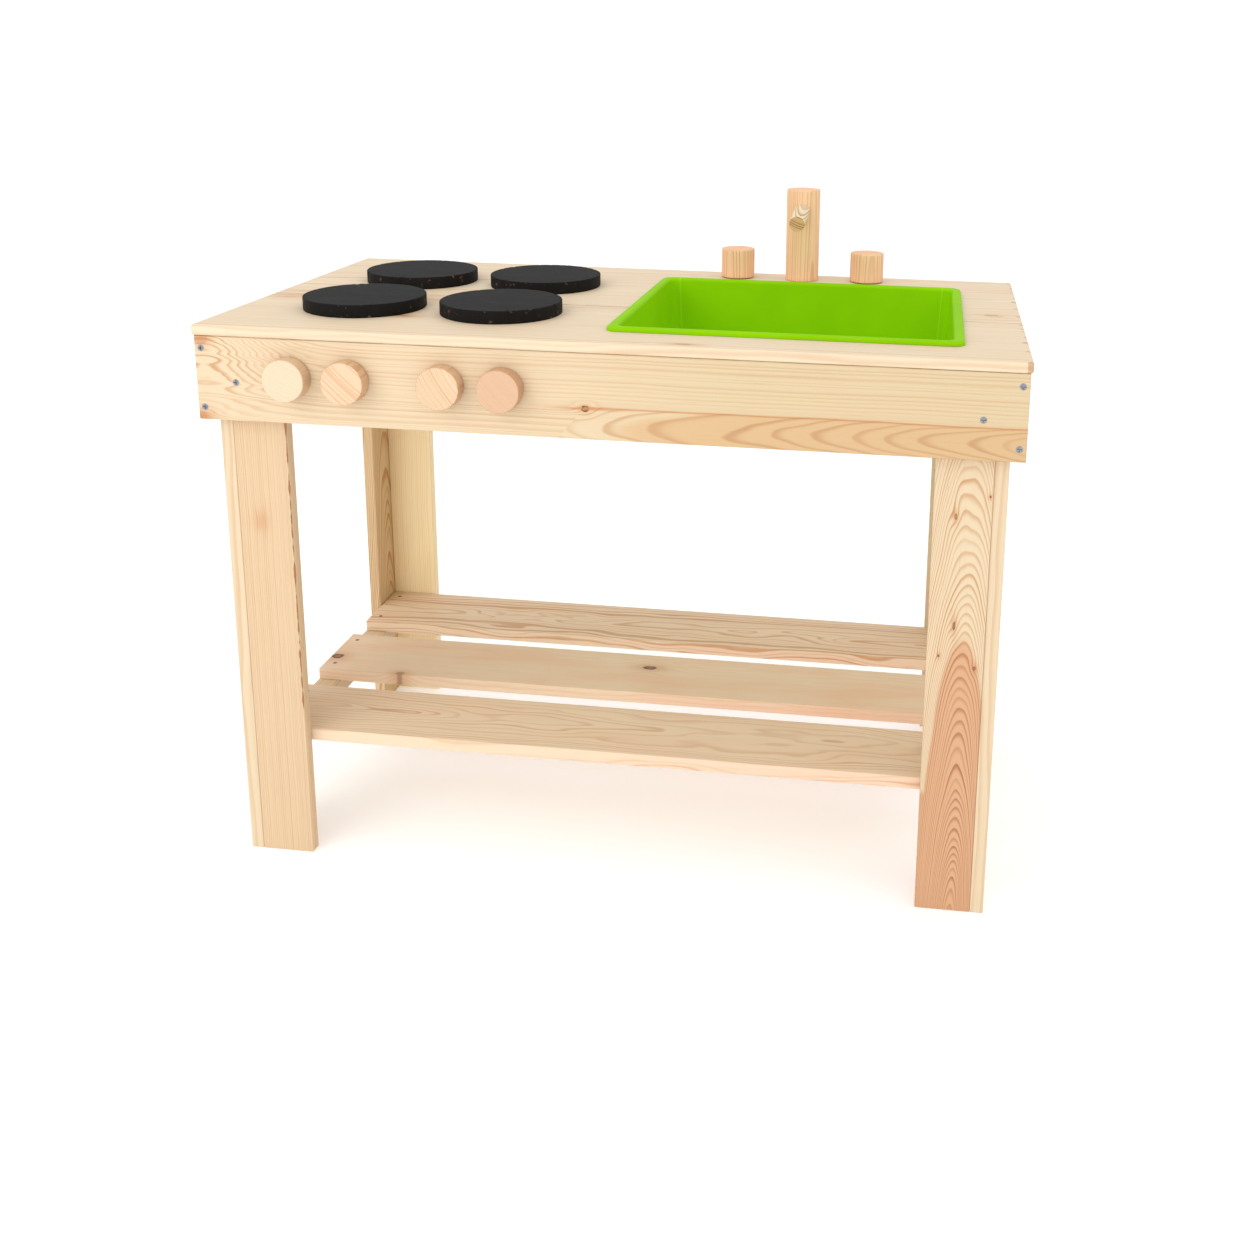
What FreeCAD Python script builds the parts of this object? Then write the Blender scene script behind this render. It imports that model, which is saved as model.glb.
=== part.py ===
"""Children's play kitchen: a plank table with four hobs, four knobs, a drop-in basin and a dowel tap.

Frame: +Z up, the front faces -Y, origin under the middle of the object's outer box, on the floor.
All sizes are in millimetres. The boards butt together like a simple carcass: full-width front and
rear aprons, side aprons between them, an L-shaped leg of two boards in each corner, a slatted shelf
on two battens, and a worktop of two boards held from below by battens.
"""

import os

import FreeCAD
import Part

# ---- overall sizes -------------------------------------------------------------------------
TABLE_WIDTH = 900.0          # over the ends of the front apron
TABLE_DEPTH = 465.0          # over the front and rear aprons
TABLE_HEIGHT = 645.0         # floor to the top face of the worktop

# ---- boards --------------------------------------------------------------------------------
BOARD_THICKNESS = 15.0       # aprons and legs
APRON_HEIGHT = 95.0
LEG_FACE_WIDTH = 62.0        # board that faces the front or the back
LEG_SIDE_WIDTH = 68.0        # board that faces the side
EDGE_ROUND = 1.2             # sanded arris of every board
JOINT_GAP = 0.1              # hairline between boards that butt together

TOP_THICKNESS = 12.0
TOP_OVERHANG = 2.0
TOP_FRONT_BOARD_WIDTH = 194.0
TOP_EDGE_ROUND = 2.6
TOP_BOARD_GAP = 0.5

SHELF_HEIGHT = 154.0         # floor to the top face of the shelf
PLANK_THICKNESS = 15.0
PLANK_COUNT = 3
PLANK_GAP = 43.0
PLANK_END_CLEARANCE = 1.0
BATTEN_WIDTH = 30.0
BATTEN_HEIGHT = 20.0

TOP_BATTEN_WIDTH = 28.0
TOP_BATTEN_HEIGHT = 20.0
TOP_BATTEN_SETBACK = 10.0    # middle batten stops this far short of the aprons
TOP_BATTEN_MIDDLE_X = -48.0  # between the hobs and the basin

# ---- hobs ----------------------------------------------------------------------------------
HOB_DIAMETER = 140.0
HOB_THICKNESS = 15.0
HOB_EDGE_ROUND = 1.0
HOB_LEFT_X = -310.0
HOB_PITCH_X = 164.0
HOB_FRONT_FROM_APRON = 132.0
HOB_PITCH_Y = 182.0
HOB_SCREW_OFFSET = 30.0

# ---- knobs ---------------------------------------------------------------------------------
KNOB_DIAMETER = 47.0
KNOB_THICKNESS = 18.0
KNOB_EDGE_ROUND = 1.2
KNOB_X = (-341.5, -275.5, -169.5, -103.5)
KNOB_BELOW_APRON_TOP = 42.5

# ---- turning screws and washers ------------------------------------------------------------
AXLE_DIAMETER = 5.0
AXLE_BORE_CLEARANCE = 0.05   # radial running clearance in the wood
AXLE_HEAD_DIAMETER = 9.5
AXLE_HEAD_HEIGHT = 3.0
AXLE_BITE = 13.0             # how far it goes into the knob or handle
WASHER_DIAMETER = 15.0
WASHER_THICKNESS = 1.0
TURNING_GAP = 0.2            # play between a turning face and the wood it turns on

# ---- basin ---------------------------------------------------------------------------------
BASIN_LENGTH = 390.0         # over the rim
BASIN_DEPTH = 108.0          # rim top to the outside of the floor
BASIN_CENTRE_X = 189.0
BASIN_FROM_APRON = 54.0      # front of the rim behind the front face of the apron
BASIN_RIM_WIDTH = 12.0
BASIN_RIM_HEIGHT = 5.0
BASIN_CORNER_RADIUS = 12.0
BASIN_WALL = 2.2
BASIN_DRAFT = 5.5            # how much each wall leans in from rim to floor
BASIN_FLOOR_ROUND = 5.5
BASIN_CUTOUT_CLEARANCE = 1.5
BASIN_SEAT_GAP = 0.2
BASIN_RIM_ROUND = 2.7

# ---- tap -----------------------------------------------------------------------------------
DOWEL_DIAMETER = 44.0
DOWEL_EDGE_ROUND = 1.5
TAP_HEIGHT = 121.0
TAP_X = 173.0
TAP_FROM_BACK = 35.0         # dowel axis in front of the back face of the rear apron
TAP_BEHIND_BASIN = 24.0      # gap between the basin rim and the dowels
HANDLE_HEIGHT = 39.0
HANDLE_PITCH = 86.5          # handle axis to tap axis
SPOUT_DIAMETER = 20.0
SPOUT_REACH = 62.0           # beyond the front of the post
SPOUT_BURIED = 14.0
SPOUT_DROP_DEG = 8.0
SPOUT_BELOW_TOP = 24.0
TAP_SCREW_OFFSET = 11.0

# The basin's rim takes the room between the front margin and the tap, 330 mm here.
TAP_ROOM = TAP_BEHIND_BASIN + DOWEL_DIAMETER / 2.0 + TAP_FROM_BACK
BASIN_WIDTH = TABLE_DEPTH - BASIN_FROM_APRON - TAP_ROOM

# ---- wood screws and nails -----------------------------------------------------------------
SCREW_HEAD_DIAMETER = 7.6
SCREW_HEAD_HEIGHT = 3.0
SCREW_SHANK_DIAMETER = 3.8
SCREW_LENGTH = 40.0
SCREW_RECESS_SPAN = 4.6
SCREW_RECESS_WIDTH = 1.1
SCREW_RECESS_DEPTH = 1.6
SHORT_SCREW_LENGTH = 27.0
NAIL_HEAD_DIAMETER = 5.0
NAIL_HEAD_HEIGHT = 0.9
NAIL_SHANK_DIAMETER = 2.2
NAIL_LENGTH = 30.0
NAIL_INSET = 18.0            # from a plank's long edge

# ---- where the screws go, as shares of the board they pass through ---------------------------
APRON_SCREW_HEIGHTS = (0.15, 0.85)         # corner screws, up the apron
APRON_LEG_SCREW_HEIGHT = 0.46              # the one screw between them, into the leg
LEG_SCREW_INSET = 0.25                     # from the leg's inner edge side of the face board
LEG_SIDE_SCREW = 0.6                       # across the side board, from the face board
TOP_BATTEN_SCREW = 0.35                    # across the side board, from inside the bay
LEG_JOINT_HEIGHTS = (0.35, 2.0)            # up the leg, in heights of the shelf's underside
LEG_JOINT_BELOW_APRON = 60.0
FRONT_BOARD_SCREWS = (0.3, 0.7)            # across the front worktop board, behind the leg's face
REAR_BOARD_SCREWS = (0.25, 0.75)
SCREW_BITE = 0.7                           # how far a blind screw goes into the last board

# ---- places worked out from the sizes above ------------------------------------------------
KNOB_REACH = TURNING_GAP + WASHER_THICKNESS + KNOB_THICKNESS
FRONT = -(TABLE_DEPTH + TOP_OVERHANG - KNOB_REACH) / 2.0   # front face of the front apron
BACK = FRONT + TABLE_DEPTH
HALF = TABLE_WIDTH / 2.0
APRON_TOP = TABLE_HEIGHT - TOP_THICKNESS
APRON_BOTTOM = APRON_TOP - APRON_HEIGHT
INNER_HALF = HALF - BOARD_THICKNESS                         # inner face of the side aprons
LEG_INNER = INNER_HALF - BOARD_THICKNESS                    # inner face of the side leg boards
LEG_FRONT = FRONT + BOARD_THICKNESS                         # front face of the front legs
LEG_BACK = BACK - BOARD_THICKNESS
BAY_FRONT = LEG_FRONT + BOARD_THICKNESS                     # clear bay between the leg face boards
BAY_BACK = LEG_BACK - BOARD_THICKNESS
SHELF_BOTTOM = SHELF_HEIGHT - PLANK_THICKNESS
BASIN_CENTRE_Y = FRONT + BASIN_FROM_APRON + BASIN_WIDTH / 2.0
TAP_Y = BASIN_CENTRE_Y + BASIN_WIDTH / 2.0 + TAP_BEHIND_BASIN + DOWEL_DIAMETER / 2.0

BASIN_SEAT = TABLE_HEIGHT + BASIN_SEAT_GAP
BASIN_RIM = BASIN_SEAT + BASIN_RIM_HEIGHT
BASIN_FLOOR = BASIN_RIM - BASIN_DEPTH
LEG_SCREW_YS = (LEG_FRONT + LEG_SIDE_WIDTH * LEG_SIDE_SCREW, LEG_BACK - LEG_SIDE_WIDTH * LEG_SIDE_SCREW)
CORNER_SCREW_HEIGHTS = [APRON_BOTTOM + APRON_HEIGHT * share for share in APRON_SCREW_HEIGHTS]

SIDES = (-1.0, 1.0)
LEG_SIDES = [f"{end}_{side}_leg_side" for end in ("front", "back") for side in ("left", "right")]
LEG_FACES = [f"{end}_{side}_leg_face" for end in ("front", "back") for side in ("left", "right")]
WORKTOP_BOARDS = ["worktop_front_board", "worktop_rear_board"]

X_AXIS = FreeCAD.Vector(1, 0, 0)
Y_AXIS = FreeCAD.Vector(0, 1, 0)
Z_AXIS = FreeCAD.Vector(0, 0, 1)

nodes = {}


def vector(x, y, z):
    """A point or direction."""
    return FreeCAD.Vector(x, y, z)


def box(x0, x1, y0, y1, z0, z1):
    """A plain box between two corners."""
    return Part.makeBox(x1 - x0, y1 - y0, z1 - z0, vector(x0, y0, z0))


def board(x0, x1, y0, y1, z0, z1):
    """A sawn and sanded board: every arris is eased."""
    blank = box(x0, x1, y0, y1, z0, z1)
    return blank.makeFillet(EDGE_ROUND, blank.Edges)


def cylinder(base, axis, diameter, length):
    """A cylinder from its base centre along an axis."""
    return Part.makeCylinder(diameter / 2.0, length, base, axis)


def dowel(base, axis, diameter, length, edge_round):
    """A turned dowel or disc with both rims eased."""
    blank = cylinder(base, axis, diameter, length)
    rims = [edge for edge in blank.Edges if isinstance(edge.Curve, Part.Circle)]
    return blank.makeFillet(edge_round, rims)


def rounded_outline(length, width, radius, z):
    """A closed rounded-rectangle wire centred on the basin's axis at a height."""
    x0 = BASIN_CENTRE_X - length / 2.0
    y0 = BASIN_CENTRE_Y - width / 2.0
    blank = Part.makeBox(length, width, 1.0, vector(x0, y0, z))
    uprights = [e for e in blank.Edges if abs(e.tangentAt(e.FirstParameter).z) > 0.5]
    rounded = blank.makeFillet(radius, uprights)
    bottom = min(rounded.Faces, key=lambda face: face.CenterOfMass.z)
    return bottom.OuterWire


def rounded_block(length, width, radius, z0, z1):
    """A straight block with rounded upright corners round the basin's axis."""
    return Part.Face(rounded_outline(length, width, radius, z0)).extrude(vector(0, 0, z1 - z0))


# ---- fasteners: each blank is what the wood is drilled for ----------------------------------


def screw_blank(head, axis, length):
    """A countersunk screw without its recess, from the middle of its head's face along its axis."""
    cone = Part.makeCone(
        SCREW_HEAD_DIAMETER / 2.0, SCREW_SHANK_DIAMETER / 2.0, SCREW_HEAD_HEIGHT, head, axis
    )
    return cone.fuse(cylinder(head, axis, SCREW_SHANK_DIAMETER, length))


def screw_recess(head, axis):
    """The cross recess in a countersunk head."""
    span = SCREW_RECESS_SPAN / 2.0
    half = SCREW_RECESS_WIDTH / 2.0
    depth = SCREW_RECESS_DEPTH
    cross = box(-span, span, -half, half, 0, depth).fuse(box(-half, half, -span, span, 0, depth))
    cross.Placement = FreeCAD.Placement(head, FreeCAD.Rotation(Z_AXIS, axis))
    return cross


def nail_blank(head, axis, length):
    """A flat-headed nail from the middle of its head's face along its axis."""
    top = cylinder(head, axis, NAIL_HEAD_DIAMETER, NAIL_HEAD_HEIGHT)
    return top.fuse(cylinder(head, axis, NAIL_SHANK_DIAMETER, length))


def axle_blank(face, axis, through, bite):
    """A pan-headed screw that a knob turns on: its head sits behind the wood it passes through."""
    under_head = face - axis * TURNING_GAP
    head = cylinder(under_head - axis * AXLE_HEAD_HEIGHT, axis, AXLE_HEAD_DIAMETER, AXLE_HEAD_HEIGHT)
    reach = TURNING_GAP + through + TURNING_GAP + WASHER_THICKNESS + bite
    return head.fuse(cylinder(under_head, axis, AXLE_DIAMETER, reach))


def add_screws(name, screws, length, pierced):
    """Makes one node of identical screws, given as (head, axis) pairs, and drills their boards."""
    blanks = [screw_blank(head, axis, length) for head, axis in screws]
    cut = [blank.cut(screw_recess(head, axis)) for blank, (head, axis) in zip(blanks, screws)]
    nodes[name] = Part.makeCompound(cut)
    drill(blanks, pierced)


def drill(blanks, pierced):
    """Cuts the fasteners' own shapes out of the named boards."""
    for board_name in pierced:
        nodes[board_name] = nodes[board_name].cut(Part.makeCompound(blanks))


# ---- carcass -------------------------------------------------------------------------------


def make_aprons():
    """Front and rear aprons run the full width; the side aprons fit between them."""
    nodes["front_apron"] = board(-HALF, HALF, FRONT, LEG_FRONT, APRON_BOTTOM, APRON_TOP)
    nodes["rear_apron"] = board(-HALF, HALF, LEG_BACK, BACK, APRON_BOTTOM, APRON_TOP)
    side_front = LEG_FRONT + JOINT_GAP
    side_back = LEG_BACK - JOINT_GAP
    nodes["left_apron"] = board(-HALF, -INNER_HALF, side_front, side_back, APRON_BOTTOM, APRON_TOP)
    nodes["right_apron"] = board(INNER_HALF, HALF, side_front, side_back, APRON_BOTTOM, APRON_TOP)


def make_legs():
    """Each leg is an L of a face board butted against the inner face of a side board."""
    outer = INNER_HALF - JOINT_GAP
    inner = LEG_INNER - JOINT_GAP
    for side, sign in (("left", -1.0), ("right", 1.0)):
        side_x = sorted((sign * outer, sign * LEG_INNER))
        face_x = sorted((sign * inner, sign * (inner - LEG_FACE_WIDTH)))
        front_y = (LEG_FRONT + JOINT_GAP, LEG_FRONT + LEG_SIDE_WIDTH)
        back_y = (LEG_BACK - LEG_SIDE_WIDTH, LEG_BACK - JOINT_GAP)
        nodes[f"front_{side}_leg_side"] = board(*side_x, *front_y, 0, APRON_TOP)
        nodes[f"back_{side}_leg_side"] = board(*side_x, *back_y, 0, APRON_TOP)
        face_front = (LEG_FRONT + JOINT_GAP, BAY_FRONT)
        face_back = (BAY_BACK, LEG_BACK - JOINT_GAP)
        nodes[f"front_{side}_leg_face"] = board(*face_x, *face_front, 0, APRON_TOP)
        nodes[f"back_{side}_leg_face"] = board(*face_x, *face_back, 0, APRON_TOP)


def make_shelf():
    """Planks between the side leg boards, on two battens that run from leg to leg."""
    first = BAY_FRONT + PLANK_END_CLEARANCE
    last = BAY_BACK - PLANK_END_CLEARANCE
    plank_width = (last - first - (PLANK_COUNT - 1) * PLANK_GAP) / PLANK_COUNT
    half_length = LEG_INNER - PLANK_END_CLEARANCE
    nails = []
    for index, name in enumerate(("front", "middle", "rear")):
        y0 = first + index * (plank_width + PLANK_GAP)
        y1 = y0 + plank_width
        plank = board(-half_length, half_length, y0, y1, SHELF_BOTTOM, SHELF_HEIGHT)
        nodes[f"shelf_plank_{name}"] = plank
        nail_x = LEG_INNER - BATTEN_WIDTH / 2.0
        nails += [(x, y) for x in (-nail_x, nail_x) for y in (y0 + NAIL_INSET, y1 - NAIL_INSET)]
    batten_y = (BAY_FRONT + JOINT_GAP, BAY_BACK - JOINT_GAP)
    batten_z = (SHELF_BOTTOM - BATTEN_HEIGHT, SHELF_BOTTOM)
    batten_outer = LEG_INNER - JOINT_GAP
    batten_inner = LEG_INNER - BATTEN_WIDTH
    nodes["shelf_batten_left"] = board(-batten_outer, -batten_inner, *batten_y, *batten_z)
    nodes["shelf_batten_right"] = board(batten_inner, batten_outer, *batten_y, *batten_z)
    blanks = [nail_blank(vector(x, y, SHELF_HEIGHT), -Z_AXIS, NAIL_LENGTH) for x, y in nails]
    nodes["shelf_nails"] = Part.makeCompound(blanks)
    planks = [name for name in nodes if name.startswith("shelf_plank")]
    drill(blanks, planks + ["shelf_batten_left", "shelf_batten_right"])


def make_worktop():
    """Two boards side by side, cut out for the basin, with sanded outer edges."""
    x = HALF + TOP_OVERHANG
    front = FRONT - TOP_OVERHANG
    joint = front + TOP_FRONT_BOARD_WIDTH
    back = BACK + TOP_OVERHANG
    body_length = BASIN_LENGTH - 2.0 * BASIN_RIM_WIDTH + 2.0 * BASIN_CUTOUT_CLEARANCE
    body_width = BASIN_WIDTH - 2.0 * BASIN_RIM_WIDTH + 2.0 * BASIN_CUTOUT_CLEARANCE
    z = (APRON_TOP - 1.0, TABLE_HEIGHT + 1.0)
    cutout = rounded_block(body_length, body_width, BASIN_CORNER_RADIUS, *z)
    for name, y0, y1, outer in (
        ("worktop_front_board", front, joint - TOP_BOARD_GAP / 2.0, front),
        ("worktop_rear_board", joint + TOP_BOARD_GAP / 2.0, back, back),
    ):
        blank = box(-x, x, y0, y1, APRON_TOP, TABLE_HEIGHT)
        eased = [e for e in blank.Edges if is_outer_edge(e, x, outer)]
        nodes[name] = blank.makeFillet(TOP_EDGE_ROUND, eased).cut(cutout)


def is_outer_edge(edge, x, outer_y):
    """Whether an edge of a worktop board lies on its ends or on its outer long side."""
    middle = edge.CenterOfMass
    on_end = abs(abs(middle.x) - x) < 0.01 and abs(edge.tangentAt(edge.FirstParameter).z) < 0.5
    on_side = abs(middle.y - outer_y) < 0.01
    return on_end or on_side


def make_worktop_battens():
    """Battens under the worktop: one along each end, against the legs, and one in the middle."""
    z = (APRON_TOP - TOP_BATTEN_HEIGHT, APRON_TOP)
    end_y = (BAY_FRONT + JOINT_GAP, BAY_BACK - JOINT_GAP)
    middle_y = (LEG_FRONT + TOP_BATTEN_SETBACK, LEG_BACK - TOP_BATTEN_SETBACK)
    outer = LEG_INNER - JOINT_GAP
    inner = LEG_INNER - TOP_BATTEN_WIDTH
    half = TOP_BATTEN_WIDTH / 2.0
    middle_x = (TOP_BATTEN_MIDDLE_X - half, TOP_BATTEN_MIDDLE_X + half)
    nodes["top_batten_left"] = board(-outer, -inner, *end_y, *z)
    nodes["top_batten_right"] = board(inner, outer, *end_y, *z)
    nodes["top_batten_middle"] = board(*middle_x, *middle_y, *z)


def from_outside(x, ys, heights):
    """Screws driven in from both ends of the table, at every pair of a depth and a height."""
    return [(vector(sign * x, y, z), X_AXIS * -sign) for sign in SIDES for y in ys for z in heights]


def make_apron_screws():
    """Screws through the aprons, into each other at the corners and into the legs."""
    corner_x = HALF - BOARD_THICKNESS / 2.0
    leg_x = LEG_INNER - LEG_FACE_WIDTH * LEG_SCREW_INSET
    middle = APRON_BOTTOM + APRON_HEIGHT * APRON_LEG_SCREW_HEIGHT
    for name, y, axis, end in (("front", FRONT, Y_AXIS, "front"), ("rear", BACK, -Y_AXIS, "back")):
        corners = [(vector(x, y, z), axis) for x in (-corner_x, corner_x) for z in CORNER_SCREW_HEIGHTS]
        aprons = [f"{name}_apron", "left_apron", "right_apron"]
        add_screws(f"{name}_corner_screws", corners, SCREW_LENGTH, aprons)
        into_legs = [(vector(x, y, middle), axis) for x in (-leg_x, leg_x)]
        boards = [f"{name}_apron", f"{end}_left_leg_face", f"{end}_right_leg_face"]
        add_screws(f"{name}_leg_screws", into_legs, SHORT_SCREW_LENGTH, boards)
    places = from_outside(HALF, LEG_SCREW_YS, CORNER_SCREW_HEIGHTS)
    add_screws("side_apron_screws", places, SHORT_SCREW_LENGTH, ["left_apron", "right_apron"] + LEG_SIDES)


def make_leg_screws():
    """Screws through the side leg boards, into the face boards and the shelf battens."""
    outside = INNER_HALF - JOINT_GAP
    face_ys = (LEG_FRONT + BOARD_THICKNESS / 2.0, LEG_BACK - BOARD_THICKNESS / 2.0)
    heights = [SHELF_BOTTOM * share for share in LEG_JOINT_HEIGHTS]
    heights.append(APRON_BOTTOM - LEG_JOINT_BELOW_APRON)
    places = from_outside(outside, face_ys, heights)
    add_screws("leg_joint_screws", places, SCREW_LENGTH, LEG_SIDES + LEG_FACES)
    batten_z = SHELF_BOTTOM - BATTEN_HEIGHT / 2.0
    places = from_outside(outside, LEG_SCREW_YS, (batten_z,))
    boards = LEG_SIDES + ["shelf_batten_left", "shelf_batten_right"]
    add_screws("shelf_batten_screws", places, SCREW_LENGTH, boards)


def make_worktop_screws():
    """Screws that hold the end battens to the legs and the worktop to its battens."""
    face = LEG_INNER - TOP_BATTEN_WIDTH
    z = APRON_TOP - TOP_BATTEN_HEIGHT / 2.0
    reach = LEG_SIDE_WIDTH * TOP_BATTEN_SCREW
    places = [
        (vector(sign * face, y, z), X_AXIS * sign)
        for sign in SIDES
        for y in (LEG_FRONT + reach, LEG_BACK - reach)
    ]
    length = TOP_BATTEN_WIDTH + BOARD_THICKNESS * SCREW_BITE
    boards = ["top_batten_left", "top_batten_right"] + LEG_SIDES
    add_screws("top_batten_screws", places, length, boards)
    joint = FRONT - TOP_OVERHANG + TOP_FRONT_BOARD_WIDTH
    rows = [LEG_FRONT + (joint - LEG_FRONT) * share for share in FRONT_BOARD_SCREWS]
    rows += [joint + (LEG_BACK - joint) * share for share in REAR_BOARD_SCREWS]
    end_x = LEG_INNER - TOP_BATTEN_WIDTH / 2.0
    below = APRON_TOP - TOP_BATTEN_HEIGHT
    columns = (-end_x, TOP_BATTEN_MIDDLE_X, end_x)
    places = [(vector(x, y, below), Z_AXIS) for x in columns for y in rows]
    length = TOP_BATTEN_HEIGHT + TOP_THICKNESS * SCREW_BITE
    battens = ["top_batten_left", "top_batten_middle", "top_batten_right"]
    add_screws("worktop_screws", places, length, battens + WORKTOP_BOARDS)


# ---- fittings ------------------------------------------------------------------------------


def make_hobs():
    """Four painted discs screwed down from under the worktop."""
    screws = []
    names = []
    front_y = FRONT + HOB_FRONT_FROM_APRON
    for row, y in (("front", front_y), ("back", front_y + HOB_PITCH_Y)):
        for side, x in (("left", HOB_LEFT_X), ("right", HOB_LEFT_X + HOB_PITCH_X)):
            name = f"hob_{row}_{side}"
            names.append(name)
            foot = vector(x, y, TABLE_HEIGHT)
            nodes[name] = dowel(foot, Z_AXIS, HOB_DIAMETER, HOB_THICKNESS, HOB_EDGE_ROUND)
            offsets = (-HOB_SCREW_OFFSET, HOB_SCREW_OFFSET)
            screws += [(vector(x + dx, y, APRON_TOP), Z_AXIS) for dx in offsets]
    length = TOP_THICKNESS + HOB_THICKNESS * SCREW_BITE
    add_screws("hob_screws", screws, length, names + WORKTOP_BOARDS)


def make_turning(suffix, piece, face, axis, through, carrier):
    """Hangs a turning piece on its own screw, with a washer between it and the wood it turns on."""
    outside = face + axis * (through + TURNING_GAP)
    blank = axle_blank(face, axis, through, AXLE_BITE)
    nodes[f"{suffix}_screw"] = blank
    washer = cylinder(outside, axis, WASHER_DIAMETER, WASHER_THICKNESS)
    nodes[f"{suffix}_washer"] = washer.cut(blank)
    nodes[suffix] = piece(outside + axis * WASHER_THICKNESS).cut(blank)
    bore = AXLE_DIAMETER + 2.0 * AXLE_BORE_CLEARANCE
    for name in carrier:
        nodes[name] = nodes[name].cut(cylinder(face - axis, axis, bore, through + 2.0))


def make_knobs():
    """Four discs that turn on the front apron."""
    z = APRON_TOP - KNOB_BELOW_APRON_TOP
    for number, x in enumerate(KNOB_X, start=1):
        make_turning(
            f"knob_{number}",
            lambda base: dowel(base, -Y_AXIS, KNOB_DIAMETER, KNOB_THICKNESS, KNOB_EDGE_ROUND),
            vector(x, LEG_FRONT, z), -Y_AXIS, BOARD_THICKNESS, ["front_apron"],
        )


def make_tap():
    """A tall post with a spout pressed into it, and a turning handle on each side."""
    spout_z = TABLE_HEIGHT + TAP_HEIGHT - SPOUT_BELOW_TOP
    turn = FreeCAD.Rotation(X_AXIS, SPOUT_DROP_DEG)
    forward = turn.multVec(-Y_AXIS)
    start = vector(TAP_X, TAP_Y, spout_z) + forward * (DOWEL_DIAMETER / 2.0 - SPOUT_BURIED)
    length = SPOUT_BURIED + SPOUT_REACH
    nodes["tap_spout"] = dowel(start, forward, SPOUT_DIAMETER, length, DOWEL_EDGE_ROUND / 2.0)
    socket = cylinder(start, forward, SPOUT_DIAMETER, length)
    foot = vector(TAP_X, TAP_Y, TABLE_HEIGHT)
    post = dowel(foot, Z_AXIS, DOWEL_DIAMETER, TAP_HEIGHT, DOWEL_EDGE_ROUND)
    nodes["tap_post"] = post.cut(socket)
    offsets = (-TAP_SCREW_OFFSET, TAP_SCREW_OFFSET)
    places = [(vector(TAP_X + dx, TAP_Y, APRON_TOP), Z_AXIS) for dx in offsets]
    add_screws("tap_post_screws", places, SCREW_LENGTH, ["tap_post", "worktop_rear_board"])
    height = HANDLE_HEIGHT - WASHER_THICKNESS
    for side, x in (("left", TAP_X - HANDLE_PITCH), ("right", TAP_X + HANDLE_PITCH)):
        make_turning(
            f"tap_handle_{side}",
            lambda base: dowel(base, Z_AXIS, DOWEL_DIAMETER, height, DOWEL_EDGE_ROUND),
            vector(x, TAP_Y, APRON_TOP), Z_AXIS, TOP_THICKNESS, ["worktop_rear_board"],
        )


def tapered_block(inset, z0, z1, round_radius):
    """The basin's body, inside or outside: straight-sided but leaning in towards its floor."""
    length = BASIN_LENGTH - 2.0 * (BASIN_RIM_WIDTH + inset)
    width = BASIN_WIDTH - 2.0 * (BASIN_RIM_WIDTH + inset)
    radius = BASIN_CORNER_RADIUS - inset - BASIN_DRAFT
    wires = []
    for z in (z0, z1):
        lean = 2.0 * BASIN_DRAFT * (BASIN_RIM - z) / (BASIN_RIM - BASIN_FLOOR)
        wires.append(rounded_outline(length - lean, width - lean, radius, z))
    block = Part.makeLoft(wires, True, True)
    foot = [edge for edge in block.Edges if abs(edge.BoundBox.ZMax - z0) < 0.01]
    return block.makeFillet(round_radius, foot)


def make_basin():
    """A thin-walled tub whose turned-down rim rests on the worktop."""
    corner = BASIN_CORNER_RADIUS + BASIN_RIM_WIDTH / 2.0
    flange = rounded_block(BASIN_LENGTH, BASIN_WIDTH, corner, BASIN_SEAT, BASIN_RIM)
    lip = [edge for edge in flange.Edges if abs(edge.BoundBox.ZMin - BASIN_RIM) < 0.01]
    flange = flange.makeFillet(BASIN_RIM_ROUND, lip)
    under_length = BASIN_LENGTH - 2.0 * BASIN_WALL
    under_width = BASIN_WIDTH - 2.0 * BASIN_WALL
    under_z = (BASIN_SEAT - 1.0, BASIN_RIM - BASIN_WALL)
    under = rounded_block(under_length, under_width, corner - BASIN_WALL, *under_z)
    outside = tapered_block(0.0, BASIN_FLOOR, BASIN_RIM, BASIN_FLOOR_ROUND)
    hollow_z = (BASIN_FLOOR + BASIN_WALL, BASIN_RIM + 1.0)
    hollow = tapered_block(BASIN_WALL, *hollow_z, BASIN_FLOOR_ROUND - BASIN_WALL)
    nodes["basin"] = flange.cut(under).fuse(outside).cut(hollow).removeSplitter()


def main():
    """Builds every piece and writes one STEP file for each."""
    make_aprons()
    make_legs()
    make_shelf()
    make_worktop()
    make_worktop_battens()
    make_apron_screws()
    make_leg_screws()
    make_worktop_screws()
    make_hobs()
    make_knobs()
    make_tap()
    make_basin()
    os.makedirs("parts", exist_ok=True)
    for name, shape in nodes.items():
        shape.exportStep(os.path.join("parts", f"{name}.step"))
        print(name, "valid" if shape.isValid() else "INVALID", len(shape.Solids), "solid(s)")


main()
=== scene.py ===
"""Looks of a children's plank play kitchen: pine carcass, painted hobs, dowel knobs and tap, drop-in basin.

The carcass, the shelf, the battens and the fasteners keep their CAD shapes and get their timber and
metal here. The basin, the hobs, the turned pieces and the leg with the waney edge are modelled here,
in place of their plain CAD solids. Everything is in metres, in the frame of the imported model.
"""

import logging
import math
from collections.abc import Callable, Iterator, Sequence
from dataclasses import dataclass, field, replace
from enum import Enum

import bmesh
import bpy
from mathutils import Matrix, Vector, noise


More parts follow.
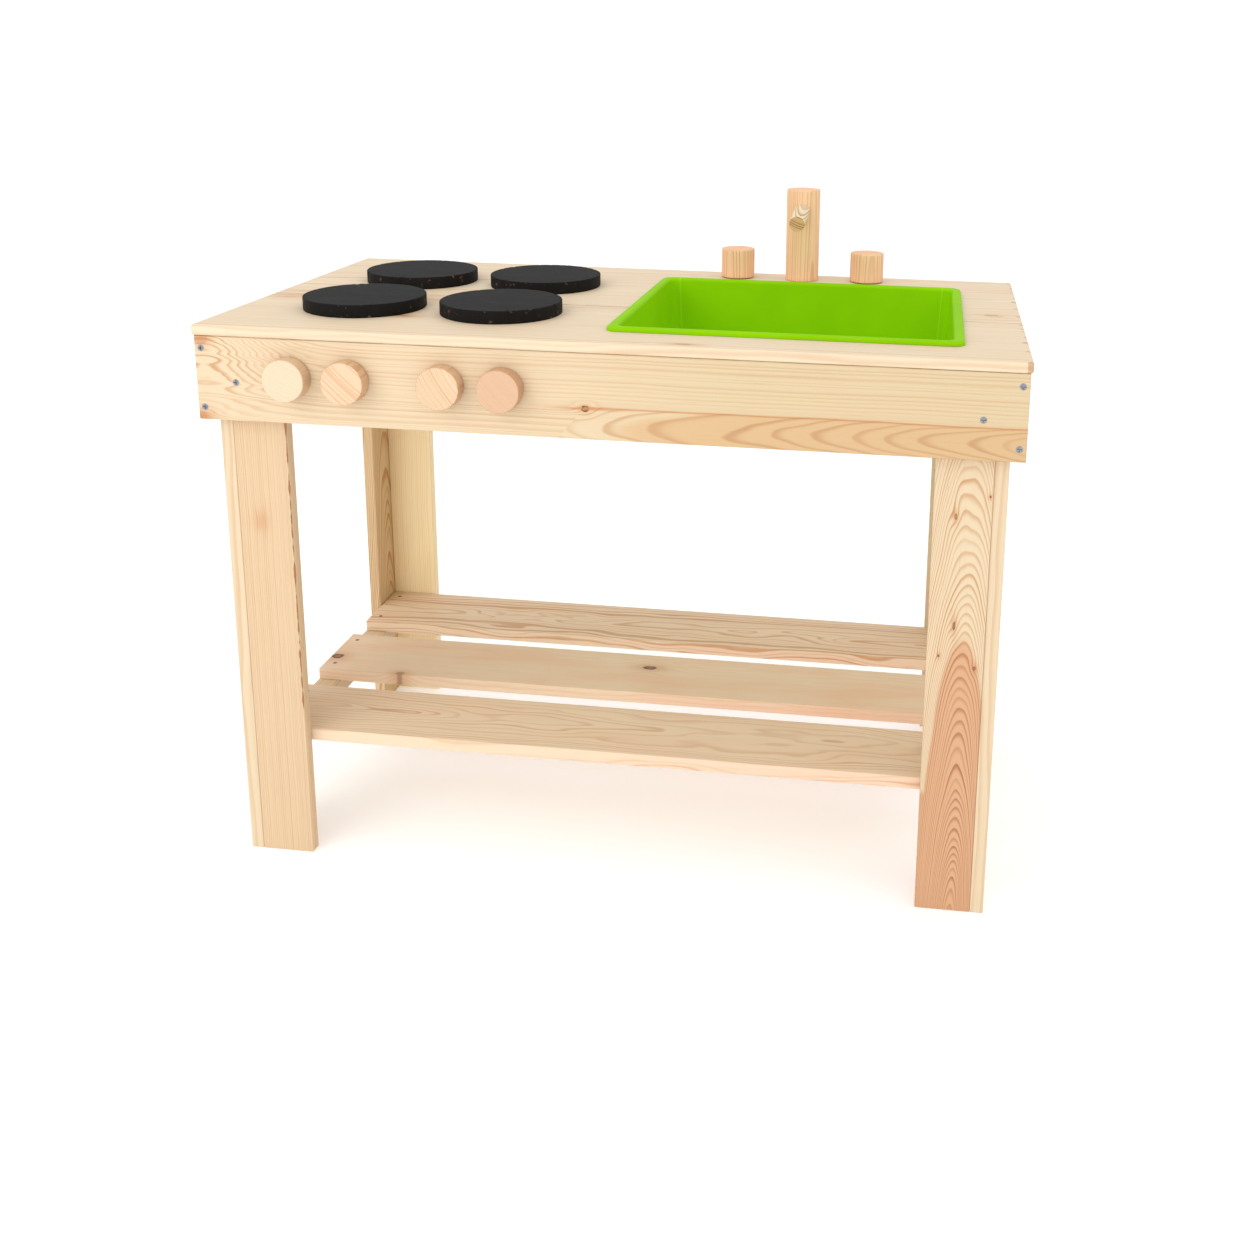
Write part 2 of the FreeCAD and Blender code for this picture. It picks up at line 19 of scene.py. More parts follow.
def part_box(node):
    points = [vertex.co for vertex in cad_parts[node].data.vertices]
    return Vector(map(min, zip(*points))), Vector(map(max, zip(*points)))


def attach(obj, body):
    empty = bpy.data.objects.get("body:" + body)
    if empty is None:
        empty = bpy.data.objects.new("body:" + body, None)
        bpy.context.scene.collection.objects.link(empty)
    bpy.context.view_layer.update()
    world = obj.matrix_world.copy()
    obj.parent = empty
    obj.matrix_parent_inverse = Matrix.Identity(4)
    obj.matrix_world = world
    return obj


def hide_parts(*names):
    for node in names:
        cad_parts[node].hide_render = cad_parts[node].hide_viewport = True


LOG = logging.getLogger("play_kitchen")
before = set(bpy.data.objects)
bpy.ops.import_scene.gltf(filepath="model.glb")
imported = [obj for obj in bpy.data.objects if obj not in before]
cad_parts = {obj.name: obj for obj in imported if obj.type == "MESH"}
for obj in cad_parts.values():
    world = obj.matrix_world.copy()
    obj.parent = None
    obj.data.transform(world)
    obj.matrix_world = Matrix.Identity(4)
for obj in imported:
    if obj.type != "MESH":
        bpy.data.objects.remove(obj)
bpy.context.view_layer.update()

Rgb = tuple[float, float, float]
Socket = bpy.types.NodeSocket
Pieces = Iterator[bpy.types.Object]
Element = bmesh.types.BMFace | bmesh.types.BMEdge
Value = float | Socket
Colour = Rgb | Socket

TOUCH = 1e-6            # points closer than this are one point
SQUARE_ON = 0.9         # how far a face's normal follows a direction that it counts as facing
UP = Vector((0.0, 0.0, 1.0))
ORIGIN = Vector((0.0, 0.0, 0.0))
WHITE = (1.0, 1.0, 1.0)


class Axis(Enum):
    """A direction of the frame."""

    X = 0
    Y = 1
    Z = 2


@dataclass(frozen=True)
class Lay:
    """How a piece of timber lies: where its length and width run, and which way its show face looks."""

    length: Axis
    width: Axis
    depth: Axis
    outward: float


class Lie(Enum):
    """The ways that this kitchen's timber lies."""

    TOP = Lay(Axis.X, Axis.Y, Axis.Z, 1.0)
    FRONT = Lay(Axis.X, Axis.Z, Axis.Y, -1.0)
    REAR = Lay(Axis.X, Axis.Z, Axis.Y, 1.0)
    LEFT_END = Lay(Axis.Y, Axis.Z, Axis.X, -1.0)
    RIGHT_END = Lay(Axis.Y, Axis.Z, Axis.X, 1.0)
    LEG_FRONT = Lay(Axis.Z, Axis.X, Axis.Y, -1.0)
    LEG_REAR = Lay(Axis.Z, Axis.X, Axis.Y, 1.0)
    LEG_LEFT = Lay(Axis.Z, Axis.Y, Axis.X, -1.0)
    LEG_RIGHT = Lay(Axis.Z, Axis.Y, Axis.X, 1.0)
    BATTEN = Lay(Axis.Y, Axis.X, Axis.Z, 1.0)
    POST = Lay(Axis.Z, Axis.X, Axis.Y, -1.0)
    PEG = Lay(Axis.Y, Axis.X, Axis.Z, 1.0)


# ---- writing materials -----------------------------------------------------------------------


class Graph:
    """Writes one material's node tree, a node at a time."""

    def __init__(self, name: str) -> None:
        """Starts an empty tree that ends in a Principled shader.

        Args:
            name: what the material is called.
        """
        self.material = bpy.data.materials.new(name)
        self.material.use_nodes = True
        self.nodes = self.material.node_tree.nodes
        self.links = self.material.node_tree.links
        self.nodes.clear()
        self.shader = self.nodes.new("ShaderNodeBsdfPrincipled")
        output = self.nodes.new("ShaderNodeOutputMaterial")
        self.links.new(self.shader.outputs[0], output.inputs[0])

    def feed(self, socket: Socket, value: object) -> None:
        """Links a socket to another, or sets its value.

        Args:
            socket: the input to feed.
            value: an output socket, a number or a colour.
        """
        if isinstance(value, Socket):
            self.links.new(value, socket)
        elif socket.type == "RGBA":
            socket.default_value = (*value, 1.0)
        else:
            socket.default_value = value

    def add(self, kind: str, inputs: dict[str | int, object], **settings: object) -> bpy.types.Node:
        """Adds a node.

        Args:
            kind: the node's type without its ShaderNode prefix.
            inputs: what each input is fed with.
            **settings: the node's own properties.

        Returns:
            The node.
        """
        node = self.nodes.new("ShaderNode" + kind)
        for key, value in settings.items():
            setattr(node, key, value)
        for key, value in inputs.items():
            self.feed(node.inputs[key], value)
        return node

    def sum(self, operation: str, first: Value, second: Value = 0.0, third: Value = 0.0) -> Socket:
        """One step of arithmetic.

        Args:
            operation: the Math node's operation.
            first: its first number.
            second: its second number, where it takes one.
            third: its third number, where it takes one.

        Returns:
            The result's socket.
        """
        return self.add("Math", {0: first, 1: second, 2: third}, operation=operation).outputs[0]

    def times(self, first: Value, second: Value) -> Socket:
        """The product of two numbers."""
        return self.sum("MULTIPLY", first, second)

    def plus(self, first: Value, second: Value) -> Socket:
        """The sum of two numbers."""
        return self.sum("ADD", first, second)

    def step(self, value: Value, start: Value, end: Value) -> Socket:
        """A smooth step.

        Args:
            value: what is compared.
            start: where the step is 0.
            end: where the step is 1.

        Returns:
            A number from 0 to 1.
        """
        inputs = {"Value": value, "From Min": start, "From Max": end}
        return self.add("MapRange", inputs, interpolation_type="SMOOTHSTEP").outputs[0]

    def vector(self, x: Value, y: Value, z: Value) -> Socket:
        """A vector of three numbers."""
        return self.add("CombineXYZ", {0: x, 1: y, 2: z}).outputs[0]

    def place(self, centre: Vector) -> list[Socket]:
        """The object's own coordinates about a centre, as three numbers."""
        coordinates = self.nodes.new("ShaderNodeTexCoord").outputs["Object"]
        centred = self.add("Mapping", {"Vector": coordinates, "Location": -centre}).outputs[0]
        return list(self.add("SeparateXYZ", {0: centred}).outputs)

    def clouds(self, at: Socket, scale: float, detail: float = 2.0) -> bpy.types.Node:
        """Soft noise in three dimensions.

        Args:
            at: where it is read.
            scale: how fine it is.
            detail: how many finer layers it has.

        Returns:
            The noise node.
        """
        return self.add("TexNoise", {"Vector": at, "Scale": scale, "Detail": detail})

    def mix(self, share: Value, first: Colour, second: Colour, blend: str = "MIX") -> Socket:
        """Mixes two colours.

        Args:
            share: how much of the second shows.
            first: the colour underneath.
            second: the colour on top.
            blend: how it is laid on.

        Returns:
            The mixed colour.
        """
        node = self.nodes.new("ShaderNodeMix")
        node.data_type = "RGBA"
        node.blend_type = blend
        for index, value in ((0, share), (6, first), (7, second)):
            self.feed(node.inputs[index], value)
        return node.outputs[2]

    def grain(self, place: Sequence[Value], scales: Sequence[float], detail: float = 2.0) -> Socket:
        """Noise that is drawn out along some directions.

        Args:
            place: where it is read, as three numbers.
            scales: how fine it is along each.
            detail: how many finer layers it has.

        Returns:
            A number about 0.5.
        """
        at = self.vector(*(self.times(part, scale) for part, scale in zip(place, scales)))
        return self.clouds(at, 1.0, detail).outputs[0]

    def surface(self, inputs: dict[str, object]) -> None:
        """Feeds the shader's inputs, by name."""
        for name, value in inputs.items():
            self.feed(self.shader.inputs[name], value)

    def bump(self, height: Value, distance: float) -> None:
        """Gives the shader a relief, whose height of 1 is a distance in metres."""
        inputs = {"Height": height, "Distance": distance, "Strength": 1.0}
        self.surface({"Normal": self.add("Bump", inputs).outputs[0]})


def shade(red: float, green: float, blue: float) -> Rgb:
    """A paint-card colour of 0 to 255 as the linear colour that a shader takes.

    Args:
        red: the card's red.
        green: the card's green.
        blue: the card's blue.

    Returns:
        The linear colour.
    """
    return tuple(((c / 255.0 + 0.055) / 1.055) ** 2.4 for c in (red, green, blue))


# ---- timber ----------------------------------------------------------------------------------


@dataclass(frozen=True)
class Timber:
    """The colours of one kind of wood."""

    early: Rgb
    late: Rgb
    heart: Rgb
    heart_late: Rgb
    blush: Rgb
    knot: Rgb
    resin: Rgb
    end_tint: Rgb = (0.78, 0.66, 0.5)
    end_share: float = 0.55
    roughness: float = 0.55


PINE = Timber(
    early=shade(217, 196, 164),
    late=shade(186, 140, 94),
    heart=shade(203, 166, 126),
    heart_late=shade(164, 108, 66),
    blush=shade(220, 184, 152),
    knot=shade(92, 54, 34),
    resin=shade(192, 128, 76),
)
SHELF_PINE = replace(PINE, early=shade(228, 203, 174), late=shade(192, 140, 94), blush=shade(226, 184, 150))
PINK_PINE = replace(PINE, early=shade(213, 186, 150), late=shade(186, 132, 92))
TOP_PINE = replace(PINE, early=shade(224, 205, 176), late=shade(192, 144, 98), end_share=0.3)
# Painted light: a paler copy of pine that stands in for the frontal light on the back left leg's face board.
PAINTED_LIGHT_PINE = replace(PINE, early=shade(246, 226, 182), late=shade(196, 146, 92))
DEEP_PINE = replace(PINE, early=shade(213, 186, 144), late=shade(178, 124, 74))
BEECH = Timber(
    early=shade(209, 173, 135),
    late=shade(182, 130, 88),
    heart=shade(200, 158, 118),
    heart_late=shade(160, 108, 70),
    blush=shade(216, 158, 122),
    knot=shade(96, 58, 36),
    resin=shade(190, 124, 70),
    end_tint=(1.16, 1.26, 1.42),
    end_share=1.0,
)
PALE_BEECH = replace(BEECH, early=shade(212, 181, 146))
ROSY_BEECH = replace(BEECH, early=shade(196, 155, 119), late=shade(178, 126, 90), blush=shade(200, 150, 114))
TAP_WOOD = replace(
    BEECH, early=shade(240, 198, 158), late=shade(204, 142, 98), blush=shade(238, 184, 146),
    end_tint=(1.0, 0.97, 0.9)
)
# The spout's darker end face is end grain and painted shade: its end tint darkens the face that sits in
# shade.
SPOUT_WOOD = replace(
    TAP_WOOD, early=shade(232, 212, 176), end_tint=(0.86, 0.62, 0.46), late=shade(150, 116, 84)
)


@dataclass(frozen=True)
class Knot:
    """A branch that was sawn through, at a place on the show face, from the middle of the board."""

    along: float
    across: float
    radius: float
    swell: float = 3.0
    halo: float = 3.5
    core: float = 1.0
    glow: float = 0.55
    stretch: float = 1.6
    etch: float = 0.3


@dataclass(frozen=True)
class Cut:
    """Where in its log a board was sawn, and what shows on it. Lengths are in metres."""

    pith_across: float = 0.03
    pith_below: float = 0.05
    climb: float = 0.02
    drift: float = 0.0
    ring: float = 0.0027
    wander: float = 0.004
    contrast: float = 0.55
    late_start: float = 0.12
    heart: float = 0.0
    heart_end: float = -1.0
    blush: float = 0.25
    seed: float = 0.0
    knots: tuple[Knot, ...] = ()


@dataclass(frozen=True)
class Wane:
    """A strip of inner bark left along one long edge of a board."""

    edge_width: float
    edge_depth: float
    lowest: float
    breadth: float
    colour: Rgb = shade(138, 86, 52)


@dataclass
class WoodFinish:
    """The finish of one board: growth rings round a pith, cut by the board's own faces."""

    name: str
    low: Vector
    high: Vector
    lie: Lie
    cut: Cut
    timber: Timber = PINE
    lower_cut: Cut | None = None
    seam: float = 0.0
    seam_start: float = 0.0
    edge_lines: tuple[float, float] = (0.25, 0.25)
    end_nicks: float = 0.0
    far_tint: Rgb = (1.0, 1.0, 1.0)
    wane: Wane | None = None

    def make(self) -> bpy.types.Material:
        """Writes the material."""
        graph = Graph(self.name)
        lay = self.lie.value
        centre = (self.low + self.high) / 2.0
        xyz = graph.place(centre)
        along = xyz[lay.length.value]
        across = xyz[lay.width.value]
        half = (self.high - self.low)[lay.depth.value] / 2.0
        below = graph.sum("MULTIPLY_ADD", xyz[lay.depth.value], -lay.outward, half)
        colour, grain = self.log(graph, self.cut, along, across, below)
        if self.lower_cut:
            other, other_grain = self.log(graph, self.lower_cut, along, across, below)
            bent = graph.grain((along, 0.0, 0.0), (6.0, 1.0, 1.0))
            fall = graph.sum("MINIMUM", graph.plus(along, -self.seam_start), 0.0)
            line = graph.plus(
                graph.sum("MULTIPLY_ADD", bent, 0.004, self.seam - 0.002), graph.times(fall, 1.2)
            )
            share = graph.step(across, graph.plus(line, 0.0012), line)
            colour = graph.mix(share, colour, other)
            grain = graph.add("Mix", {0: share, 2: grain, 3: other_grain}).outputs[0]
            over = graph.step(across, graph.plus(line, 0.0016), line)
            scar = graph.times(over, graph.step(across, graph.plus(line, -0.002), line))
            scar = graph.times(scar, graph.step(along, self.seam_start - 0.004, self.seam_start))
            colour = graph.mix(graph.times(scar, 0.7), colour, self.timber.resin)
        reach = (self.high - self.low)[lay.length.value] / 2.0
        # Tints the board towards its far end; on the front apron this darkening is painted shade, where the
        # light falls off to the right.
        colour = graph.mix(graph.step(along, -0.45 * reach, 0.4 * reach), colour, self.far_tint, "MULTIPLY")
        colour = self.end_grain(graph, colour)
        colour = self.edge_dust_and_shade(graph, colour, along, across)
        if self.wane:
            colour = self.bark(graph, colour, along, xyz)
        fibre = self.fibre(graph, along, across, below)
        rough = graph.sum("MULTIPLY_ADD", fibre, 0.22, self.timber.roughness - 0.08)
        graph.surface({"Base Color": colour, "Roughness": rough, "Specular IOR Level": 0.32})
        relief = graph.plus(graph.times(fibre, 0.7), graph.times(grain, 0.5))
        graph.bump(relief, 0.00028)
        return graph.material

    def fibre(self, graph: Graph, along: Value, across: Value, below: Value) -> Socket:
        """Fine streaks along the board.

        Args:
            graph: the tree to write in.
            along: place along the board.
            across: place across it.
            below: place under its show face.

        Returns:
            A number about 0.5.
        """
        return graph.grain((along, across, below), (14.0, 620.0, 620.0), 3.0)

    def log(self, graph: Graph, cut: Cut, along: Value, across: Value, below: Value) -> tuple[Socket, Socket]:
        """Growth rings, heartwood, blush and knots.

        Args:
            graph: the tree to write in.
            cut: where the board was sawn.
            along: place along the board.
            across: place across it.
            below: place under its show face.

        Returns:
            The colour, and the latewood's share.
        """
        seed = cut.seed * 7.31
        timber = self.timber
        slow = graph.vector(
            graph.sum("MULTIPLY_ADD", along, 4.2, seed), graph.times(across, 17.0), graph.times(below, 17.0)
        )
        sway = graph.add("SeparateColor", {0: graph.clouds(slow, 1.0, 2.5).outputs["Color"]}).outputs
        drift = graph.sum("MULTIPLY_ADD", along, -cut.drift, -cut.pith_across)
        side = graph.plus(
            graph.plus(across, drift), graph.sum("MULTIPLY_ADD", sway[0], 2.0 * cut.wander, -cut.wander)
        )
        climb = graph.sum("MULTIPLY_ADD", along, cut.climb, cut.pith_below - 2.0 * cut.wander)
        down = graph.plus(graph.plus(below, climb), graph.times(sway[1], 4.0 * cut.wander))
        radius = graph.sum("SQRT", graph.plus(graph.times(side, side), graph.times(down, down)))
        read = {"W": graph.sum("MULTIPLY_ADD", radius, 85.0, seed), "Scale": 1.0, "Detail": 1.0}
        jitter = graph.add("TexNoise", read, noise_dimensions="1D")
        rings = graph.plus(graph.times(radius, 1.0 / cut.ring), graph.times(jitter.outputs[0], 2.6))
        marks = [self.knot_marks(graph, knot, along, across) for knot in cut.knots]
        for knot, (halo, _) in zip(cut.knots, marks):
            rings = graph.plus(rings, graph.times(halo, knot.swell))
        late = self.ring_profile(graph, rings, cut.late_start, seed)
        fibre = self.fibre(graph, along, across, below)
        patch = graph.grain((along, across, below), (5.0, 22.0, 22.0))
        strength = graph.times(
            late, graph.sum("MULTIPLY_ADD", patch, 1.3 * cut.contrast, 0.35 * cut.contrast)
        )
        for knot, (halo, _) in zip(cut.knots, marks):
            strength = graph.times(strength, graph.sum("MULTIPLY_ADD", halo, knot.etch, 1.0))
        colour = graph.mix(strength, timber.early, timber.late)
        if cut.heart > 0.0:
            core = graph.mix(strength, timber.heart, timber.heart_late)
            ragged = graph.sum("MULTIPLY_ADD", sway[2], 0.006, cut.heart)
            inside = graph.step(radius, graph.plus(ragged, 0.0012), graph.plus(ragged, -0.0012))
            torn = graph.plus(along, graph.times(fibre, 0.03))
            foot = graph.step(torn, cut.heart_end + 0.002, cut.heart_end - 0.002)
            colour = graph.mix(graph.sum("MAXIMUM", inside, foot), colour, core)
        colour = graph.mix(graph.times(graph.step(patch, 0.42, 0.72), cut.blush), colour, timber.blush)
        streak = graph.step(fibre, 0.56, 0.8)
        colour = graph.mix(graph.times(streak, 0.3), colour, timber.late)
        for knot, (halo, core) in zip(cut.knots, marks):
            colour = graph.mix(graph.times(graph.times(halo, halo), knot.glow), colour, timber.resin)
            colour = graph.mix(graph.times(core, knot.core), colour, timber.knot)
        return colour, late

    def ring_profile(self, graph: Graph, rings: Socket, start: float, seed: float) -> Socket:
        """How dark the wood is across one year's ring: a slow rise, then a sharp edge.

        Args:
            graph: the tree to write in.
            rings: the count of rings from the pith.
            start: where in the year the wood begins to darken.
            seed: sets which years were dry.

        Returns:
            The latewood's share.
        """
        phase = graph.sum("FRACT", rings)
        year = graph.sum("FLOOR", rings)
        rise = graph.step(phase, start, 0.84)
        fall = graph.step(phase, 1.0, 0.88)
        shape = graph.times(graph.times(rise, rise), fall)
        dry = graph.add("TexWhiteNoise", {"W": graph.plus(year, seed)}, noise_dimensions="1D").outputs[0]
        return graph.times(shape, graph.sum("MULTIPLY_ADD", dry, 0.65, 0.35))

    def knot_marks(self, graph: Graph, knot: Knot, along: Value, across: Value) -> tuple[Socket, Socket]:
        """A knot's halo, which the rings swell round, and its dark core.

        Args:
            graph: the tree to write in.
            knot: where it is.
            along: place along the board.
            across: place across it.

        Returns:
            The halo and the core, each from 0 to 1.
        """
        reach = knot.radius * knot.stretch
        u = graph.times(graph.plus(along, -knot.along), 1.0 / reach)
        v = graph.times(graph.plus(across, -knot.across), 1.0 / knot.radius)
        square = graph.plus(graph.times(u, u), graph.times(v, v))
        halo = graph.sum("EXPONENT", graph.times(square, -1.0 / knot.halo**2))
        ripple = graph.clouds(graph.vector(u, v, 0.0), 1.6, 2.0).outputs[0]
        distance = graph.plus(graph.sum("SQRT", square), graph.sum("MULTIPLY_ADD", ripple, 0.8, -0.4))
        eye = graph.sum("MULTIPLY_ADD", graph.step(distance, 0.45, 0.8), 0.35, 0.65)
        return halo, graph.times(graph.step(distance, 1.15, 0.8), eye)

    def end_grain(self, graph: Graph, colour: Colour) -> Socket:
        """Tints the sawn ends by the timber's end tint: darker on pine, where the end grain drinks more;
        paler on the beech knobs; darker on the spout, where it is also painted shade on its end face.
        """
        normal = graph.nodes.new("ShaderNodeTexCoord").outputs["Normal"]
        facing = graph.add("SeparateXYZ", {0: normal}).outputs[self.lie.value.length.value]
        ends = graph.step(graph.sum("ABSOLUTE", facing), 0.6, 0.95)
        return graph.mix(graph.times(ends, self.timber.end_share), colour, self.timber.end_tint, "MULTIPLY")

    def edge_dust_and_shade(self, graph: Graph, colour: Colour, along: Value, across: Value) -> Socket:
        """Darkens the long edges with dust and painted shade, in the worktop's joint and under the worktop's
        front edge, and nicks a sawn end.

        Args:
            graph: the tree to write in.
            colour: the wood under it.
            along: place along the board.
            across: place across it.

        Returns:
            The colour with the dust, the painted shade and the nicks on it.
        """
        half = (self.high - self.low)[self.lie.value.width.value] / 2.0
        patchy = graph.grain((along, across, 0.0), (25.0, 25.0, 1.0), 3.0)
        share = graph.step(patchy, 0.2, 0.6)
        for edge, darkness in zip((-half, half), self.edge_lines):
            inside = edge - math.copysign(0.0016, edge)
            line = graph.times(graph.step(across, inside, edge), graph.times(share, darkness))
            # Dust and painted shade: a dark line along each long edge, as strong as its edge_lines share.
            colour = graph.mix(line, colour, (0.4, 0.27, 0.17), "MULTIPLY")
        if self.end_nicks > 0.0:
            end = (self.high - self.low)[self.lie.value.length.value] / 2.0
            teeth = graph.grain((0.0, across, 0.0), (1.0, 70.0, 1.0), 3.0)
            depth = graph.sum("MULTIPLY_ADD", graph.step(teeth, 0.5, 0.66), -0.0075, end)
            nick = graph.step(along, graph.plus(depth, -0.0006), graph.plus(depth, 0.0006))
            colour = graph.mix(graph.times(nick, self.end_nicks), colour, (0.66, 0.44, 0.3), "MULTIPLY")
        return colour

    def bark(self, graph: Graph, colour: Colour, along: Value, xyz: Sequence[Socket]) -> Socket:
        """Lays the strip of inner bark on the board's edge.

        Args:
            graph: the tree to write in.
            colour: the wood under it.
            along: place along the board.
            xyz: the place about the board's middle.

        Returns:
            The colour with the bark on it.
        """
        lay = self.lie.value
        u = graph.plus(xyz[lay.width.value], -self.wane.edge_width)
        v = graph.plus(xyz[lay.depth.value], -self.wane.edge_depth)
        away = graph.sum("SQRT", graph.plus(graph.times(u, u), graph.times(v, v)))
        rough = graph.grain((along, 0.0, 0.0), (40.0, 1.0, 1.0), 4.0)
        breadth = graph.sum("MULTIPLY_ADD", rough, 2.4 * self.wane.breadth, -0.25 * self.wane.breadth)
        strip = graph.step(away, breadth, graph.plus(breadth, -0.0008))
        above = graph.step(along, self.wane.lowest, self.wane.lowest + 0.02)
        tone = graph.mix(rough, self.wane.colour, self.timber.late)
        return graph.mix(graph.times(strip, above), colour, tone)


# ---- paint, plastic and metal ----------------------------------------------------------------


@dataclass(frozen=True)
class HobPaint:
    """Matt black paint on wood, dusty on top and chipped along its edge."""

    centre: Vector
    radius: float
    seed: float
    black: Rgb = shade(19, 17, 16)
    worn: Rgb = shade(40, 37, 34)
    bare: Rgb = shade(104, 74, 52)

    def make(self, name: str) -> bpy.types.Material:
        """Writes the material."""
        graph = Graph(name)
        x, y, z = graph.place(self.centre)
        at = graph.vector(graph.plus(x, self.seed), y, z)
        wiped = graph.vector(graph.times(x, 14.0), graph.sum("MULTIPLY_ADD", y, 40.0, self.seed), z)
        smudge = graph.clouds(wiped, 1.0, 4.0).outputs[0]
        colour = graph.mix(graph.times(graph.step(smudge, 0.45, 0.8), 0.5), self.black, self.worn)
        speck = graph.clouds(at, 420.0, 1.0).outputs[0]
        dust = graph.times(graph.step(speck, 0.74, 0.79), graph.step(smudge, 0.45, 0.62))
        colour = graph.mix(graph.times(dust, 0.55), colour, shade(176, 170, 160))
        reach = graph.sum("SQRT", graph.plus(graph.times(x, x), graph.times(y, y)))
        rim = graph.step(reach, self.radius - 0.0016, self.radius - 0.0006)
        nick = graph.step(graph.clouds(at, 150.0, 3.0).outputs[0], 0.64, 0.7)
        colour = graph.mix(graph.times(graph.times(rim, nick), 0.7), colour, self.bare)
        rough = graph.sum("MULTIPLY_ADD", smudge, 0.2, 0.6)
        graph.surface({"Base Color": colour, "Roughness": rough, "Specular IOR Level": 0.12})
        grain = graph.grain((x, y, z), (30.0, 420.0, 420.0), 3.0)
        graph.bump(graph.plus(grain, speck), 0.0002)
        return graph.material


@dataclass(frozen=True)
class Plastic:
    """Satin moulded plastic, faintly pebbled and scuffed, with painted highlight lines along its moulded
    corners and a faint painted glow.
    """

    middle: Vector
    half: tuple[float, float]
    slope: float
    corner: float
    colour: Rgb = shade(133, 191, 0)
    deep: Rgb = shade(127, 184, 0)
    # The colour of the painted highlight lines along the tub's corners.
    corner_highlight: Rgb = shade(150, 210, 30)
    roughness: float = 0.5
    # glow is painted light: the tub glows faintly in its own colour.
    glow: float = 0.13

    def make(self, name: str) -> bpy.types.Material:
        """Writes the material."""
        graph = Graph(name)
        x, y, z = graph.place(self.middle)
        at = graph.vector(x, y, z)
        flow = graph.clouds(at, 9.0, 3.0).outputs[0]
        colour = graph.mix(graph.step(flow, 0.35, 0.7), self.colour, self.deep)
        u = graph.plus(graph.sum("ABSOLUTE", x), graph.times(z, -self.slope))
        v = graph.plus(graph.sum("ABSOLUTE", y), graph.times(z, -self.slope))
        back = self.line(graph, u, v, *self.half)
        side = self.line(graph, v, u, *reversed(self.half))
        # Painted highlight: paler lines where the corners' curves meet the flat walls.
        colour = graph.mix(graph.sum("MULTIPLY_ADD", side, 0.3, graph.times(back, 0.7)), colour, self.corner_highlight)
        scuff = graph.grain((x, y, z), (30.0, 180.0, 60.0), 4.0)
        rough = graph.sum("MULTIPLY_ADD", graph.step(scuff, 0.5, 0.75), 0.14, self.roughness)
        graph.surface({"Base Color": colour, "Roughness": rough, "Specular IOR Level": 0.03})
        # Painted light: the tub glows faintly in its own colour, which brightens its inner walls.
        graph.surface({"Emission Color": colour, "Emission Strength": self.glow})
        graph.bump(graph.clouds(at, 900.0, 1.0).outputs[0], 0.00006)
        return graph.material

    def line(self, graph: Graph, run: Value, wall: Value, run_half: float, wall_half: float) -> Socket:
        """The painted highlight line where a corner's curve meets a flat wall.

        Args:
            graph: the tree to write in.
            run: distance along the wall from its middle.
            wall: distance out from the tub's middle.
            run_half: half the tub along the wall.
            wall_half: half the tub across it.

        Returns:
            1 on the line, 0 away from it.
        """
        away = graph.sum("ABSOLUTE", graph.plus(run, self.corner - run_half))
        inner = graph.step(wall, wall_half - 0.006, wall_half - 0.004)
        outer = graph.step(wall, wall_half + 0.004, wall_half + 0.003)
        return graph.times(graph.step(away, 0.0011, 0.0004), graph.times(inner, outer))


@dataclass(frozen=True)
class Metal:
    """Plated or drawn steel."""

    colour: Rgb
    roughness: float

    def make(self, name: str) -> bpy.types.Material:
        """Writes the material."""
        graph = Graph(name)
        at = graph.vector(*graph.place(ORIGIN))
        haze = graph.clouds(at, 700.0, 3.0).outputs[0]
        dull = tuple(0.6 * part for part in self.colour)
        colour = graph.mix(graph.step(haze, 0.45, 0.75), self.colour, dull)
        rough = graph.sum("MULTIPLY_ADD", haze, 0.3, self.roughness - 0.1)
        graph.surface({"Base Color": colour, "Roughness": rough, "Metallic": 1.0})
        graph.bump(haze, 0.00005)
        return graph.material


ZINC = Metal(shade(150, 152, 156), 0.36)
WIRE = Metal(shade(128, 120, 112), 0.45)


# ---- modelling -------------------------------------------------------------------------------


